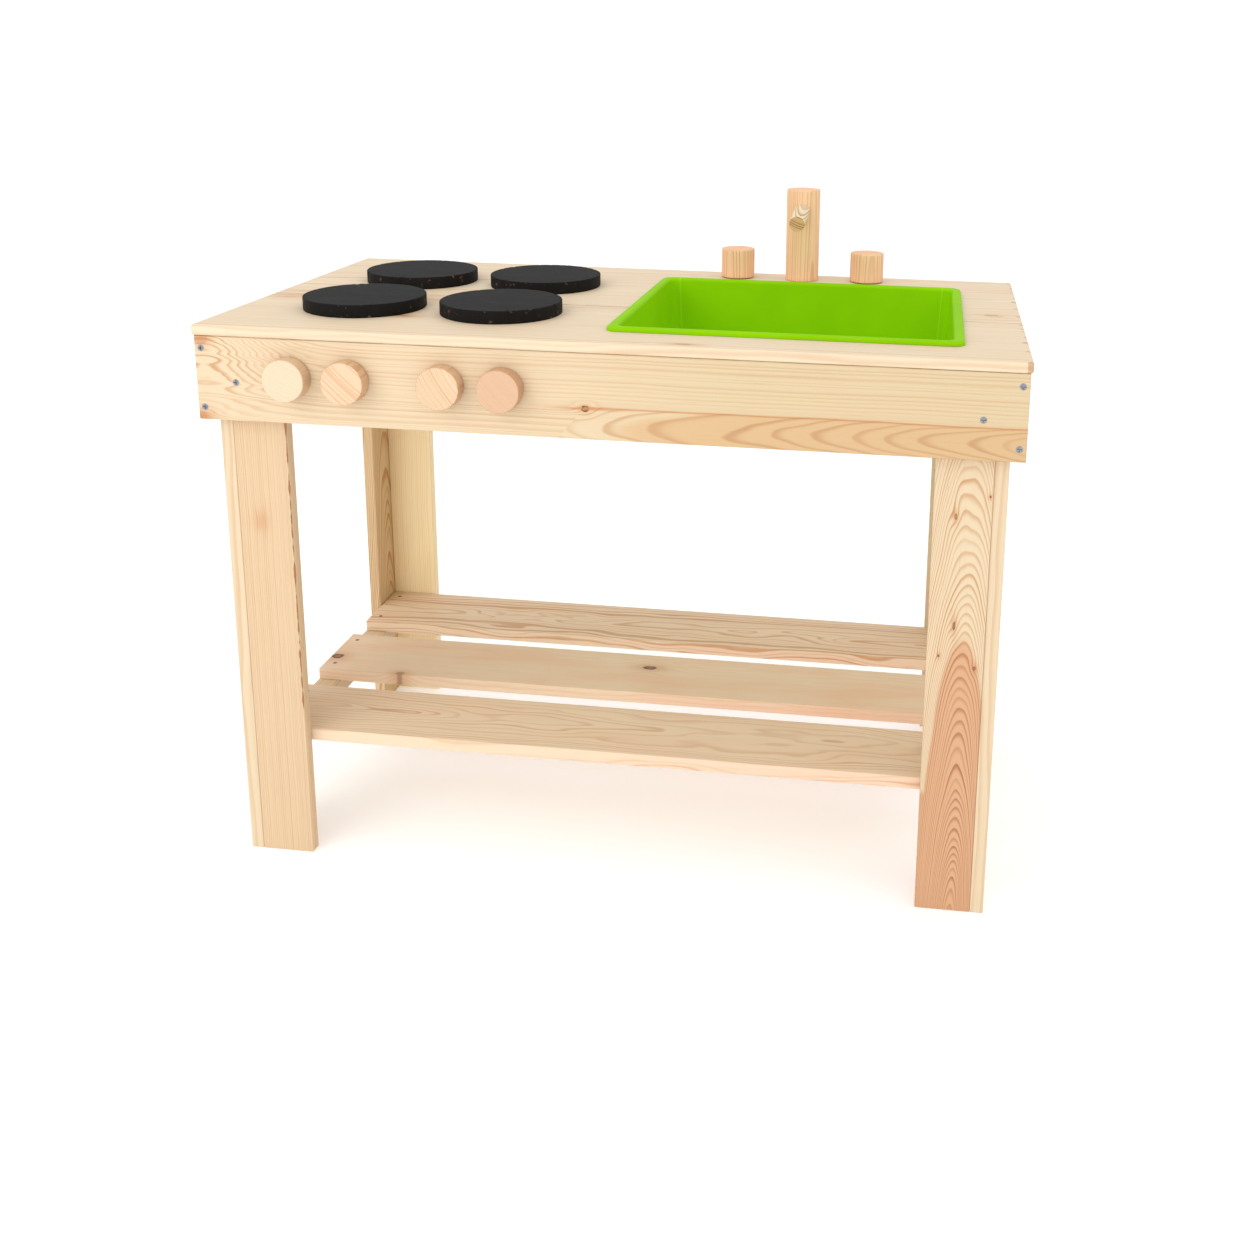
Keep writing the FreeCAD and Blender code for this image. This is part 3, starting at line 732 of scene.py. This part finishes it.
class Workpiece:
    """A mesh shaped with hand tools: a blank is added at its size and place, then cut and rounded."""

    def __init__(self, name: str) -> None:
        """Takes the blank that was just added.

        Args:
            name: what the piece is called.
        """
        self.body = bpy.context.object
        self.body.name = name
        self.body.data.name = name
        bpy.ops.object.transform_apply(location=True, rotation=True, scale=True)

    @classmethod
    def block(cls, name: str, low: Vector, high: Vector) -> "Workpiece":
        """A sawn block between two corners."""
        bpy.ops.object.select_all(action="DESELECT")
        bpy.ops.mesh.primitive_cube_add(size=1.0, location=(low + high) / 2.0, scale=high - low)
        return cls(name)

    @classmethod
    def rod(
        cls, name: str, middle: Vector, axis: Vector, radius: float, length: float, sides: int = 96
    ) -> "Workpiece":
        """A round blank about an axis.

        Args:
            name: what the piece is called.
            middle: the middle of the rod.
            axis: which way it points.
            radius: half its diameter.
            length: its length.
            sides: how many facets it is turned with.

        Returns:
            The workpiece.
        """
        bpy.ops.object.select_all(action="DESELECT")
        turn = UP.rotation_difference(axis).to_euler()
        bpy.ops.mesh.primitive_cylinder_add(
            vertices=sides, radius=radius, depth=length, location=middle, rotation=turn
        )
        return cls(name)

    def edit(self) -> bmesh.types.BMesh:
        """Puts the piece on the bench, in edit mode, with nothing picked."""
        if self.body.mode != "EDIT":
            bpy.ops.object.mode_set(mode="EDIT")
        bpy.ops.mesh.select_all(action="DESELECT")
        return bmesh.from_edit_mesh(self.body.data)

    def pick_faces(self, wanted: Callable[[bmesh.types.BMFace], bool]) -> None:
        """Picks the faces that are wanted."""
        self.pick("FACE", self.edit().faces, wanted)

    def pick_edges(self, wanted: Callable[[bmesh.types.BMEdge], bool]) -> None:
        """Picks the edges that are wanted."""
        self.pick("EDGE", self.edit().edges, wanted)

    def pick(self, kind: str, parts: Sequence[Element], wanted: Callable[[Element], bool]) -> None:
        """Picks the parts of one kind that are wanted."""
        bpy.ops.mesh.select_mode(type=kind)
        for part in parts:
            part.select_set(wanted(part))
        bmesh.update_edit_mesh(self.body.data)

    def round_over(self, width: float, segments: int) -> None:
        """Rounds the picked edges."""
        bpy.ops.mesh.bevel(offset=width, segments=segments, profile=0.5, affect="EDGES")

    def scale_picked(self, x: float, y: float, about: Vector) -> None:
        """Scales what is picked, sideways, about a point."""
        bpy.ops.transform.resize(value=(x, y, 1.0), center_override=about)

    def lift_off(self) -> None:
        """Takes the piece off the bench, back to object mode, with its seams closed and faces outward."""
        self.edit()
        bpy.ops.mesh.select_all(action="SELECT")
        bpy.ops.mesh.remove_doubles(threshold=TOUCH)
        bpy.ops.mesh.normals_make_consistent(inside=False)
        bpy.ops.object.mode_set(mode="OBJECT")

    def modifier(self, kind: str, **settings: object) -> None:
        """Adds a modifier and applies it.

        Args:
            kind: the modifier's type.
            **settings: its properties.
        """
        added = self.body.modifiers.new(kind.lower(), kind)
        for key, value in settings.items():
            setattr(added, key, value)
        bpy.ops.object.modifier_apply(modifier=added.name)

    def weather(self, depth: float, grain: float) -> None:
        """Makes the surface faintly uneven, as hand sanding leaves it.

        Args:
            depth: how deep the unevenness is.
            grain: how wide it is.
        """
        texture = bpy.data.textures.new(self.body.name + "_unevenness", "CLOUDS")
        texture.noise_scale = grain
        self.modifier("DISPLACE", texture=texture, strength=depth, mid_level=0.5, texture_coords="LOCAL")

    def finish(
        self, material: bpy.types.Material, body: str, slot: str, *nodes: str, sharp: float = 30.0
    ) -> bpy.types.Object:
        """Dresses the piece and hangs it in the frame.

        Args:
            material: its finish.
            body: the CAD body that it rides on.
            slot: the record's material slot; not used.
            *nodes: the CAD nodes that it stands for.
            sharp: the angle in degrees past which an edge stays crisp.

        Returns:
            The finished object.
        """
        bpy.ops.object.select_all(action="DESELECT")
        self.body.select_set(True)
        bpy.ops.object.shade_smooth_by_angle(angle=math.radians(sharp))
        self.body.data.materials.clear()
        self.body.data.materials.append(material)
        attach(self.body, body)
        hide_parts(*nodes)
        return self.body


def dress(node: str, material: bpy.types.Material) -> bpy.types.Object:
    """Gives a CAD node its finish.

    Args:
        node: the node's name.
        material: its finish.

    Returns:
        The node's object.
    """
    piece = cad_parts[node]
    piece.data.materials.clear()
    piece.data.materials.append(material)
    return piece


def board_finish(node: str, lie: Lie, cut: Cut, wood: str = "pine", **more: object) -> bpy.types.Material:
    """The wood finish that fits a CAD node's own box.

    Args:
        node: the board's name.
        lie: how it lies.
        cut: where it was sawn.
        wood: what the material's name ends with.
        **more: further fields of the finish.

    Returns:
        The material.
    """
    low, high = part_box(node)
    return WoodFinish(f"{node}_{wood}", low, high, lie, cut, **more).make()


# ---- sub-assemblies --------------------------------------------------------------------------


@dataclass
class Worktop:
    """Two boards side by side, cut out for the basin."""

    front: Cut = Cut(
        pith_across=0.11, pith_below=0.055, climb=0.018, ring=0.0038, contrast=0.4, wander=0.004, blush=0.15,
        seed=1.0,
        knots=(
            Knot(-0.36, 0.088, 0.006, swell=2.0, halo=4.0, core=0.0, glow=0.5, stretch=6.0),
            Knot(-0.25, -0.005, 0.004, swell=1.5, core=0.3, stretch=3.0),
            Knot(0.09, -0.085, 0.0018, swell=1.0, core=0.4, stretch=5.0),
        ),
    )
    rear: Cut = Cut(
        pith_across=-0.02, pith_below=0.03, climb=-0.04, drift=0.05, ring=0.005, contrast=0.55, wander=0.007,
        blush=0.2,
        seed=2.0, late_start=0.4,
        knots=(
            Knot(0.418, -0.095, 0.003, swell=2.5, core=0.4, glow=0.3, stretch=3.0),
            Knot(-0.34, -0.12, 0.005, swell=1.0, core=0.0, glow=0.4, stretch=9.0),
        ),
    )

    def build(self) -> Pieces:
        """Dresses both boards, darkened along the joint between them with dust and painted shade, and nicked
        by the saw at the right.
        """
        rows = (
            ("worktop_front_board", self.front, (0.0, 1.0)), ("worktop_rear_board", self.rear, (1.0, 0.0))
        )
        for node, cut, lines in rows:
            finish = board_finish(node, Lie.TOP, cut, edge_lines=lines, end_nicks=0.7, timber=TOP_PINE)
            yield dress(node, finish)


# The knot on the apron's seam, which both of its grains share.
SEAM_KNOTS = (
    Knot(-0.0138, -0.0135, 0.0034, swell=1.2, halo=2.6, core=1.0, glow=0.4, stretch=1.3),
    Knot(-0.0138, -0.0135, 0.0016, swell=0.0, halo=1.3, core=0.0, glow=0.8, stretch=26.0),
)


@dataclass
class Aprons:
    """The four boards under the worktop."""

    front: Cut = Cut(
        pith_across=0.12, pith_below=0.03, climb=0.01, ring=0.0046, contrast=0.5, wander=0.003, blush=0.12,
        seed=3.0,
        late_start=0.25,
        knots=(
            Knot(-0.44, 0.05, 0.012, swell=13.0, halo=5.0, core=0.0, glow=0.0, stretch=1.25, etch=0.8),
            Knot(-0.442, 0.044, 0.007, swell=0.0, halo=1.9, core=0.15, glow=0.75, stretch=1.2),
            Knot(-0.449, -0.045, 0.006, swell=3.0, halo=2.5, core=0.1, glow=0.9),
            *SEAM_KNOTS,
        ),
    )
    front_heart: Cut = Cut(
        pith_across=-0.03, pith_below=0.05, climb=-0.06, ring=0.0026, contrast=0.6, wander=0.0022,
        heart=0.046,
        late_start=0.45, blush=0.1, seed=4.0, knots=SEAM_KNOTS,
    )
    heart_timber: Timber = replace(PINE, heart=shade(212, 178, 138), heart_late=shade(178, 124, 78))
    others: tuple[tuple[str, Lie], ...] = (
        ("rear_apron", Lie.REAR), ("left_apron", Lie.LEFT_END), ("right_apron", Lie.RIGHT_END),
    )

    def build(self) -> Pieces:
        """Dresses the four aprons."""
        # The apron darkens towards its right end as painted shade.
        finish = board_finish(
            "front_apron", Lie.FRONT, self.front, lower_cut=self.front_heart, seam=-0.012, seam_start=-0.014,
            # edge_lines puts a painted shadow along the apron's top edge, under the worktop's front edge.
            edge_lines=(0.0, 0.75), far_tint=(0.91, 0.9, 0.83), timber=self.heart_timber,
        )
        yield dress("front_apron", finish)
        for number, (node, lie) in enumerate(self.others):
            cut = Cut(
                pith_across=0.015 * number - 0.02, pith_below=0.045, climb=0.03 - 0.05 * number, contrast=0.5,
                ring=0.0032, seed=5.0 + number, wander=0.005,
                knots=(Knot(0.12 - 0.1 * number, 0.012, 0.005),),
            )
            yield dress(node, board_finish(node, lie, cut))


@dataclass
class Legs:
    """Four corner legs, each of a face board and a side board."""

    right_face: Cut = Cut(
        pith_across=0.008, pith_below=0.0375, climb=0.1, ring=0.0013, contrast=0.85, wander=0.0024,
        heart=0.037,
        heart_end=-0.154, late_start=0.25, blush=0.05, seed=11.0,
        knots=(
            Knot(0.154, -0.007, 0.0014, swell=0.8, core=0.7, stretch=2.6),
            Knot(0.03, -0.003, 0.0015, swell=0.8, core=0.8, stretch=3.5),
            Knot(-0.018, 0.021, 0.0016, swell=0.8, core=0.8, stretch=1.6),
            Knot(-0.006, -0.018, 0.001, swell=0.5), Knot(0.178, 0.028, 0.001, swell=0.5),
        ),
    )
    right_timber: Timber = replace(
        PINE, heart=shade(206, 160, 122), heart_late=shade(158, 98, 62), late=shade(184, 130, 78)
    )
    left_face: Cut = Cut(
        pith_across=0.09, pith_below=0.03, climb=0.0, ring=0.0021, contrast=0.45, wander=0.0015, blush=0.0,
        seed=12.0,
        knots=(Knot(0.1, -0.006, 0.0035, swell=1.0, core=0.0, glow=0.4),),
    )
    plain: Cut = Cut(
        pith_across=0.06, pith_below=0.02, climb=0.0, ring=0.0026, contrast=0.35, wander=0.003, blush=0.1
    )
    arched: Cut = Cut(pith_across=0.004, pith_below=0.04, climb=0.1, ring=0.0022, contrast=0.9, wander=0.003)

    def build(self) -> Pieces:
        """Dresses seven leg boards and models the one with the waney edge."""
        yield self.waney_board()
        finish = board_finish(
            "front_right_leg_face", Lie.LEG_FRONT, self.right_face, timber=self.right_timber,
            edge_lines=(0.0, 0.0)
        )
        yield dress("front_right_leg_face", finish)
        # The back left leg's face board takes the paler copy of pine as painted light.
        rows = (
            ("back_left_leg_face", Lie.LEG_REAR, self.plain, PAINTED_LIGHT_PINE),
            ("back_right_leg_face", Lie.LEG_REAR, self.plain, PINE),
            ("front_left_leg_side", Lie.LEG_LEFT, self.plain, PINE),
            ("front_right_leg_side", Lie.LEG_RIGHT, self.plain, PINE),
            ("back_left_leg_side", Lie.LEG_RIGHT, self.arched, DEEP_PINE),
            ("back_right_leg_side", Lie.LEG_RIGHT, self.plain, PINE),
        )
        for number, (node, lie, cut, timber) in enumerate(rows):
            own = replace(cut, seed=13.0 + number)
            yield dress(node, board_finish(node, lie, own, timber=timber, edge_lines=(0.0, 0.0)))

    def waney_board(self) -> bpy.types.Object:
        """The front left leg's face board, with inner bark along its inner front edge."""
        node = "front_left_leg_face"
        low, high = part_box(node)
        piece = Workpiece.block("front_left_leg_waney_board", low, high)
        piece.pick_edges(lambda edge: abs(edge.verts[0].co.z - edge.verts[1].co.z) > 0.5 * (high.z - low.z))
        bpy.ops.mesh.subdivide(number_cuts=150)
        piece.pick_edges(lambda edge: self.is_arris(edge, low, high))
        piece.round_over(0.0012, 3)
        piece.lift_off()
        corner = Vector((high.x, low.y))
        for vertex in piece.body.data.vertices:
            away = (Vector((vertex.co.x, vertex.co.y)) - corner).length
            if away < 0.004 and vertex.co.z > 0.18:
                bite = 0.0005 + 0.0010 * abs(noise.noise(Vector((0.0, 0.0, vertex.co.z * 55.0))))
                vertex.co.x -= bite
                vertex.co.y += bite * 0.8
        middle = (low + high) / 2.0
        wane = Wane(high.x - middle.x, low.y - middle.y, 0.175 - middle.z, 0.0023)
        finish = board_finish(
            node, Lie.LEG_FRONT, self.left_face, wane=wane, timber=PINK_PINE, edge_lines=(0.0, 0.0)
        )
        return piece.finish(finish, "frame", "pine_leg", node)

    def is_arris(self, edge: bmesh.types.BMEdge, low: Vector, high: Vector) -> bool:
        """Whether an edge lies where two faces of the board meet.

        Args:
            edge: the edge.
            low: the board's lowest corner.
            high: the board's highest corner.

        Returns:
            True on an arris.
        """
        def on(axis: int) -> bool:
            return all(
                min(abs(v.co[axis] - low[axis]), abs(v.co[axis] - high[axis])) < TOUCH for v in edge.verts
            )

        return sum(on(axis) for axis in range(3)) >= 2


@dataclass
class Shelf:
    """Three planks, which lie on two battens."""

    front: Cut = Cut(
        pith_across=0.004, pith_below=0.03, climb=0.03, ring=0.0046, contrast=0.75, wander=0.012, blush=0.3,
        seed=21.0,
        late_start=0.4,
    )
    middle: Cut = Cut(
        pith_across=0.03, pith_below=0.012, climb=0.01, ring=0.0022, contrast=0.25, wander=0.004, blush=0.7,
        seed=22.0,
        knots=(
            Knot(0.0033, 0.0157, 0.0045, swell=4.0, stretch=2.0),
            Knot(-0.4097, -0.0155, 0.006, swell=3.0, stretch=1.3),
            Knot(-0.3103, -0.05, 0.0035, swell=2.0, core=0.45),
        ),
    )
    rear: Cut = Cut(
        pith_across=-0.01, pith_below=0.025, climb=-0.022, ring=0.0042, contrast=0.8, wander=0.014, blush=0.2,
        seed=23.0,
        late_start=0.4,
    )

    def build(self) -> Pieces:
        """Dresses the planks."""
        for name, cut in (("front", self.front), ("middle", self.middle), ("rear", self.rear)):
            node = f"shelf_plank_{name}"
            own = {"timber": SHELF_PINE, "far_tint": (1.03, 0.98, 1.0), "edge_lines": (0.0, 0.0)}
            yield dress(node, board_finish(node, Lie.TOP, cut, **own))


@dataclass
class Battens:
    """The battens under the worktop and the shelf."""

    nodes: tuple[str, ...] = (
        "shelf_batten_left", "shelf_batten_right", "top_batten_left", "top_batten_right", "top_batten_middle",
    )

    def build(self) -> Pieces:
        """Dresses the battens."""
        for number, node in enumerate(self.nodes):
            cut = Cut(
                pith_across=0.02 + 0.01 * number, pith_below=0.03, climb=0.01, contrast=0.5,
                seed=31.0 + number
            )
            yield dress(node, board_finish(node, Lie.BATTEN, cut))


@dataclass
class Hobs:
    """Four painted discs."""

    arris: float = 0.0009
    names: tuple[str, ...] = ("hob_front_left", "hob_front_right", "hob_back_left", "hob_back_right")

    def build(self) -> Pieces:
        """Models each disc."""
        for number, node in enumerate(self.names):
            yield self.disc(node, float(number))

    def disc(self, node: str, seed: float) -> bpy.types.Object:
        """One disc, with a slightly uneven sawn edge and small chips out of its rim.

        Args:
            node: the CAD node that it stands for.
            seed: sets where its chips are.

        Returns:
            The finished disc.
        """
        low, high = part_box(node)
        middle = (low + high) / 2.0
        radius = (high.x - low.x) / 2.0
        piece = Workpiece.rod(f"{node}_disc", middle, UP, radius, high.z - low.z, 240)
        piece.pick_faces(lambda face: abs(face.normal.z) > SQUARE_ON)
        bpy.ops.mesh.inset(thickness=0.004)
        bpy.ops.mesh.inset(thickness=0.03)
        piece.pick_edges(lambda edge: is_dowel_rim(edge, middle, UP, radius))
        piece.round_over(self.arris, 3)
        piece.lift_off()
        for vertex in piece.body.data.vertices:
            self.chip(vertex, middle, radius, high.z, seed)
        piece.weather(0.0002, 0.012)
        return piece.finish(HobPaint(middle, radius, seed).make(f"{node}_paint"), "frame", "black_hob", node)

    def chip(
        self, vertex: bpy.types.MeshVertex, middle: Vector, radius: float, top: float, seed: float
    ) -> None:
        """Moves one point of the rim in, where the disc is chipped or the saw wandered.

        Args:
            vertex: the point.
            middle: the disc's middle.
            radius: its radius.
            top: its top's height.
            seed: sets where its chips are.
        """
        out = (vertex.co - middle).to_2d()
        if out.length < radius - 0.002:
            return
        angle = math.atan2(out.y, out.x)
        ring = Vector((math.cos(angle) * 2.0, math.sin(angle) * 2.0, seed * 5.0))
        inward = 0.0004 * (1.0 + noise.noise(ring))
        nick = max(0.0, noise.noise(ring * 9.0) - 0.35) * 0.004
        if vertex.co.z > top - 0.002:
            inward += nick
            vertex.co.z -= nick * 0.7
        vertex.co.x -= out.x / out.length * inward
        vertex.co.y -= out.y / out.length * inward


@dataclass
class Knobs:
    """Four turned discs that turn on the front apron."""

    arris: float = 0.0013
    woods: tuple[tuple[Timber, Cut], ...] = (
        (PALE_BEECH, Cut(
            pith_across=0.05, pith_below=0.09, ring=0.0026, contrast=0.2, wander=0.001, blush=0.0, seed=41.0,
        )),
        (BEECH, Cut(
            pith_across=0.16, pith_below=0.15, ring=0.0066, contrast=0.8, wander=0.001, blush=0.2, seed=42.0,
            late_start=0.3,
        )),
        (BEECH, Cut(
            pith_across=0.13, pith_below=0.06, ring=0.0028, contrast=0.7, wander=0.0006, blush=0.0, seed=43.0,
        )),
        (ROSY_BEECH, Cut(
            pith_across=0.09, pith_below=0.06, ring=0.0024, contrast=0.25, wander=0.0006, blush=0.4,
            seed=44.0,
        )),
    )

    def build(self) -> Pieces:
        """Models each knob."""
        for number, (timber, cut) in enumerate(self.woods, start=1):
            node = f"knob_{number}"
            finish = board_finish(node, Lie.PEG, cut, "beech", timber=timber)
            yield turned(node, Axis.Y, self.arris, finish, "beech_knob")


def turned(node: str, axis: Axis, arris: float, finish: bpy.types.Material, slot: str) -> bpy.types.Object:
    """A dowel or disc that turns on a body of its own, with its rims eased by hand.

    Args:
        node: the CAD node that it stands for.
        axis: the axis that it is turned about.
        arris: how far its rims are eased.
        finish: its material.
        slot: the record's material slot.

    Returns:
        The finished piece.
    """
    low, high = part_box(node)
    middle = (low + high) / 2.0
    direction = Vector([1.0 if index == axis.value else 0.0 for index in range(3)])
    length = (high - low)[axis.value]
    radius = (high.x - low.x) / 2.0
    piece = Workpiece.rod(f"{node}_dowel", middle, direction, radius, length)
    piece.pick_faces(lambda face: abs(face.normal.dot(direction)) > SQUARE_ON)
    bpy.ops.mesh.inset(thickness=arris * 1.5)
    piece.pick_edges(lambda edge: is_dowel_rim(edge, middle, direction, radius))
    piece.round_over(arris, 4)
    piece.pick_edges(lambda edge: abs((edge.verts[0].co - edge.verts[1].co).dot(direction)) > 0.5 * length)
    bpy.ops.mesh.subdivide(number_cuts=max(2, round(length / 0.008)))
    piece.lift_off()
    piece.weather(0.0003, 0.02)
    return piece.finish(finish, f"{node}_body", slot, node)


def is_dowel_rim(edge: bmesh.types.BMEdge, middle: Vector, direction: Vector, radius: float) -> bool:
    """Whether an edge is part of the sharp rim between a dowel's side and its end.

    Args:
        edge: the edge.
        middle: the dowel's middle.
        direction: its axis.
        radius: its radius.

    Returns:
        True on the rim.
    """
    def reach(place: Vector) -> float:
        out = place - middle
        return (out - direction * out.dot(direction)).length

    level = abs((edge.verts[0].co - edge.verts[1].co).dot(direction)) < TOUCH
    return level and all(reach(v.co) > radius - 1e-5 for v in edge.verts)


@dataclass
class Tap:
    """A post with a spout, and a handle on each side."""

    arris: float = 0.0015
    post: Cut = Cut(
        pith_across=0.05, pith_below=0.03, ring=0.003, contrast=0.6, wander=0.001, blush=0.4, seed=51.0
    )
    handles: tuple[tuple[str, Cut], ...] = (
        ("left", Cut(
            pith_across=-0.02, pith_below=0.03, ring=0.0034, contrast=0.8, wander=0.001, blush=0.4, seed=52.0,
        )),
        ("right", Cut(
            pith_across=0.02, pith_below=0.03, ring=0.0034, contrast=0.8, wander=0.001, blush=0.4, seed=53.0,
        )),
    )
    spout: Cut = Cut(
        pith_across=0.016, pith_below=0.02, ring=0.0042, contrast=1.1, wander=0.0006, blush=0.0, seed=54.0
    )

    def build(self) -> Pieces:
        """Dresses the post and the spout and models the handles."""
        rows = (("tap_post", Lie.POST, self.post, TAP_WOOD), ("tap_spout", Lie.PEG, self.spout, SPOUT_WOOD))
        for node, lie, cut, timber in rows:
            yield dress(node, board_finish(node, lie, cut, "beech", timber=timber))
        for side, cut in self.handles:
            node = f"tap_handle_{side}"
            finish = board_finish(node, Lie.POST, cut, "beech", timber=TAP_WOOD)
            yield turned(node, Axis.Z, self.arris, finish, "beech_tap")


@dataclass
class Basin:
    """A tub with leaning walls and a rolled rim that rests on the worktop."""

    rim_width: float = 0.012
    wall: float = 0.0022
    lean: float = 0.0055
    corner: float = 0.012
    floor_round: float = 0.0055
    roll: tuple[tuple[float, float], ...] = (
        (0.0006, 0.0016), (0.0018, 0.0028), (0.004, 0.0034), (0.0085, 0.0034), (0.0106, 0.0026),
        (0.0117, 0.0012), (0.012, -0.0016),
    )

    def build(self) -> Pieces:
        """Models the tub."""
        low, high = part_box("basin")
        top = high.z - max(rise for _, rise in self.roll)
        inset = Vector((self.rim_width, self.rim_width, 0.0))
        piece = Workpiece.block("basin_tub", low + inset, Vector((high.x, high.y, top)) - inset)
        middle = (low + high) / 2.0
        length, width = high.x - low.x - 2.0 * inset.x, high.y - low.y - 2.0 * inset.y
        piece.pick_faces(lambda face: face.normal.z < -SQUARE_ON)
        piece.scale_picked(1.0 - 2.0 * self.lean / length, 1.0 - 2.0 * self.lean / width, middle)
        piece.pick_edges(lambda edge: abs(edge.verts[0].co.z - edge.verts[1].co.z) > 0.05)
        piece.round_over(self.corner, 8)
        piece.pick_edges(lambda edge: all(abs(v.co.z - low.z) < 1e-5 for v in edge.verts))
        piece.round_over(self.floor_round, 6)
        piece.pick_faces(lambda face: face.normal.z > SQUARE_ON)
        bpy.ops.mesh.delete(type="FACE")
        self.roll_rim(piece, middle, top, length, width)
        piece.lift_off()
        piece.modifier("SOLIDIFY", thickness=self.wall, offset=-1.0, use_even_offset=True)
        piece.modifier(
            "BEVEL", width=0.0006, segments=2, limit_method="ANGLE", angle_limit=math.radians(50.0)
        )
        half = ((length - self.lean) / 2.0, (width - self.lean) / 2.0)
        plastic = Plastic(middle, half, self.lean / (top - low.z), self.corner).make("lime_plastic")
        yield piece.finish(plastic, "basin_body", "lime_plastic", "basin", sharp=14.0)

    def roll_rim(self, piece: Workpiece, middle: Vector, top: float, length: float, width: float) -> None:
        """Draws the open edge outward and over, a step at a time.

        Args:
            piece: the tub.
            middle: its middle.
            top: the height of its open edge.
            length: its length at that edge.
            width: its width at that edge.
        """
        piece.pick_edges(lambda edge: edge.is_boundary)
        out, rise = 0.0, 0.0
        for next_out, next_rise in self.roll:
            bpy.ops.mesh.extrude_edges_move(TRANSFORM_OT_translate={"value": (0.0, 0.0, next_rise - rise)})
            x = (length + 2.0 * next_out) / (length + 2.0 * out)
            y = (width + 2.0 * next_out) / (width + 2.0 * out)
            piece.scale_picked(x, y, Vector((middle.x, middle.y, top)))
            out, rise = next_out, next_rise


@dataclass
class Hardware:
    """Screws, washers and nails."""

    def build(self) -> Pieces:
        """Dresses every fastener."""
        zinc = ZINC.make("zinc_plate")
        wire = WIRE.make("steel_wire")
        for node in sorted(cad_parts):
            if node == "shelf_nails":
                yield dress(node, wire)
            elif "screw" in node or "washer" in node:
                yield dress(node, zinc)


# ---- studio ----------------------------------------------------------------------------------


@dataclass
class Studio:
    """A pale floor, soft light and the camera."""

    place: Vector = field(default_factory=lambda: Vector((0.3421, -1.5713, 0.9571)))
    heading: float = 0.1177
    dip: float = 0.2257
    roll: float = 0.0188
    lens: float = 39.12
    shift: tuple[float, float] = (-0.121, -0.218)
    sky: float = 1.05
    sensor: float = 36.0
    floor_side: float = 60.0
    floor_grey: Rgb = (0.8, 0.8, 0.8)
    aim: Vector = field(default_factory=lambda: Vector((0.0, 0.0, 0.45)))

    def build(self) -> None:
        """Sets the floor, the lights and the camera."""
        self.floor()
        self.lights()
        self.camera()
        bpy.context.scene.view_settings.view_transform = "Standard"

    def floor(self) -> None:
        """A wide pale floor."""
        bpy.ops.object.select_all(action="DESELECT")
        bpy.ops.mesh.primitive_plane_add(size=self.floor_side)
        floor = bpy.context.object
        floor.name = "studio_floor"
        graph = Graph("studio_white")
        graph.surface({"Base Color": self.floor_grey, "Roughness": 0.9, "Specular IOR Level": 0.1})
        graph.surface({"Emission Color": WHITE, "Emission Strength": 0.3})
        floor.data.materials.append(graph.material)

    def lights(self) -> None:
        """An even white surround and three soft boxes, the strongest on the left."""
        world = bpy.data.worlds.new("surround")
        bpy.context.scene.world = world
        world.use_nodes = True
        background = world.node_tree.nodes["Background"]
        background.inputs[0].default_value = (*WHITE, 1.0)
        background.inputs[1].default_value = self.sky
        self.soft_box("key_light", Vector((-1.6, -2.0, 1.9)), 1.8, 20.0)
        self.soft_box("fill_light", Vector((-0.4, -2.9, 0.7)), 1.8, 9.0)
        self.soft_box("side_light", Vector((1.9, -0.5, 1.5)), 1.2, 4.0)

    def soft_box(self, name: str, place: Vector, side: float, power: float) -> None:
        """A square area light that looks at the worktop.

        Args:
            name: what it is called.
            place: where it stands.
            side: how wide it is.
            power: its power in watts.
        """
        bpy.ops.object.light_add(type="AREA", location=place)
        lamp = bpy.context.object
        lamp.name = name
        lamp.data.size = side
        lamp.data.energy = power
        lamp.rotation_euler = (self.aim - place).to_track_quat("-Z", "Y").to_euler()

    def camera(self) -> None:
        """The camera, a little above the worktop and to the right of the middle."""
        data = bpy.data.cameras.new("camera")
        camera = bpy.data.objects.new("camera", data)
        bpy.context.scene.collection.objects.link(camera)
        data.lens = self.lens
        data.sensor_width = self.sensor
        data.shift_x, data.shift_y = self.shift
        turn = Matrix.Rotation(self.heading, 4, "Z") @ Matrix.Rotation(math.pi / 2.0 - self.dip, 4, "X")
        camera.matrix_world = Matrix.Translation(self.place) @ turn @ Matrix.Rotation(self.roll, 4, "Z")
        bpy.context.scene.camera = camera


def main() -> None:
    """Builds the kitchen's looks, sub-assembly by sub-assembly, and then the studio."""
    logging.basicConfig(level=logging.INFO, format="%(message)s")
    for part in (
        Worktop(), Aprons(), Legs(), Shelf(), Battens(), Hobs(), Knobs(), Tap(), Basin(), Hardware()
    ):
        for piece in part.build():
            LOG.info("%s: %s, %d faces", type(part).__name__, piece.name, len(piece.data.polygons))
    Studio().build()


if __name__ == "__main__":
    main()
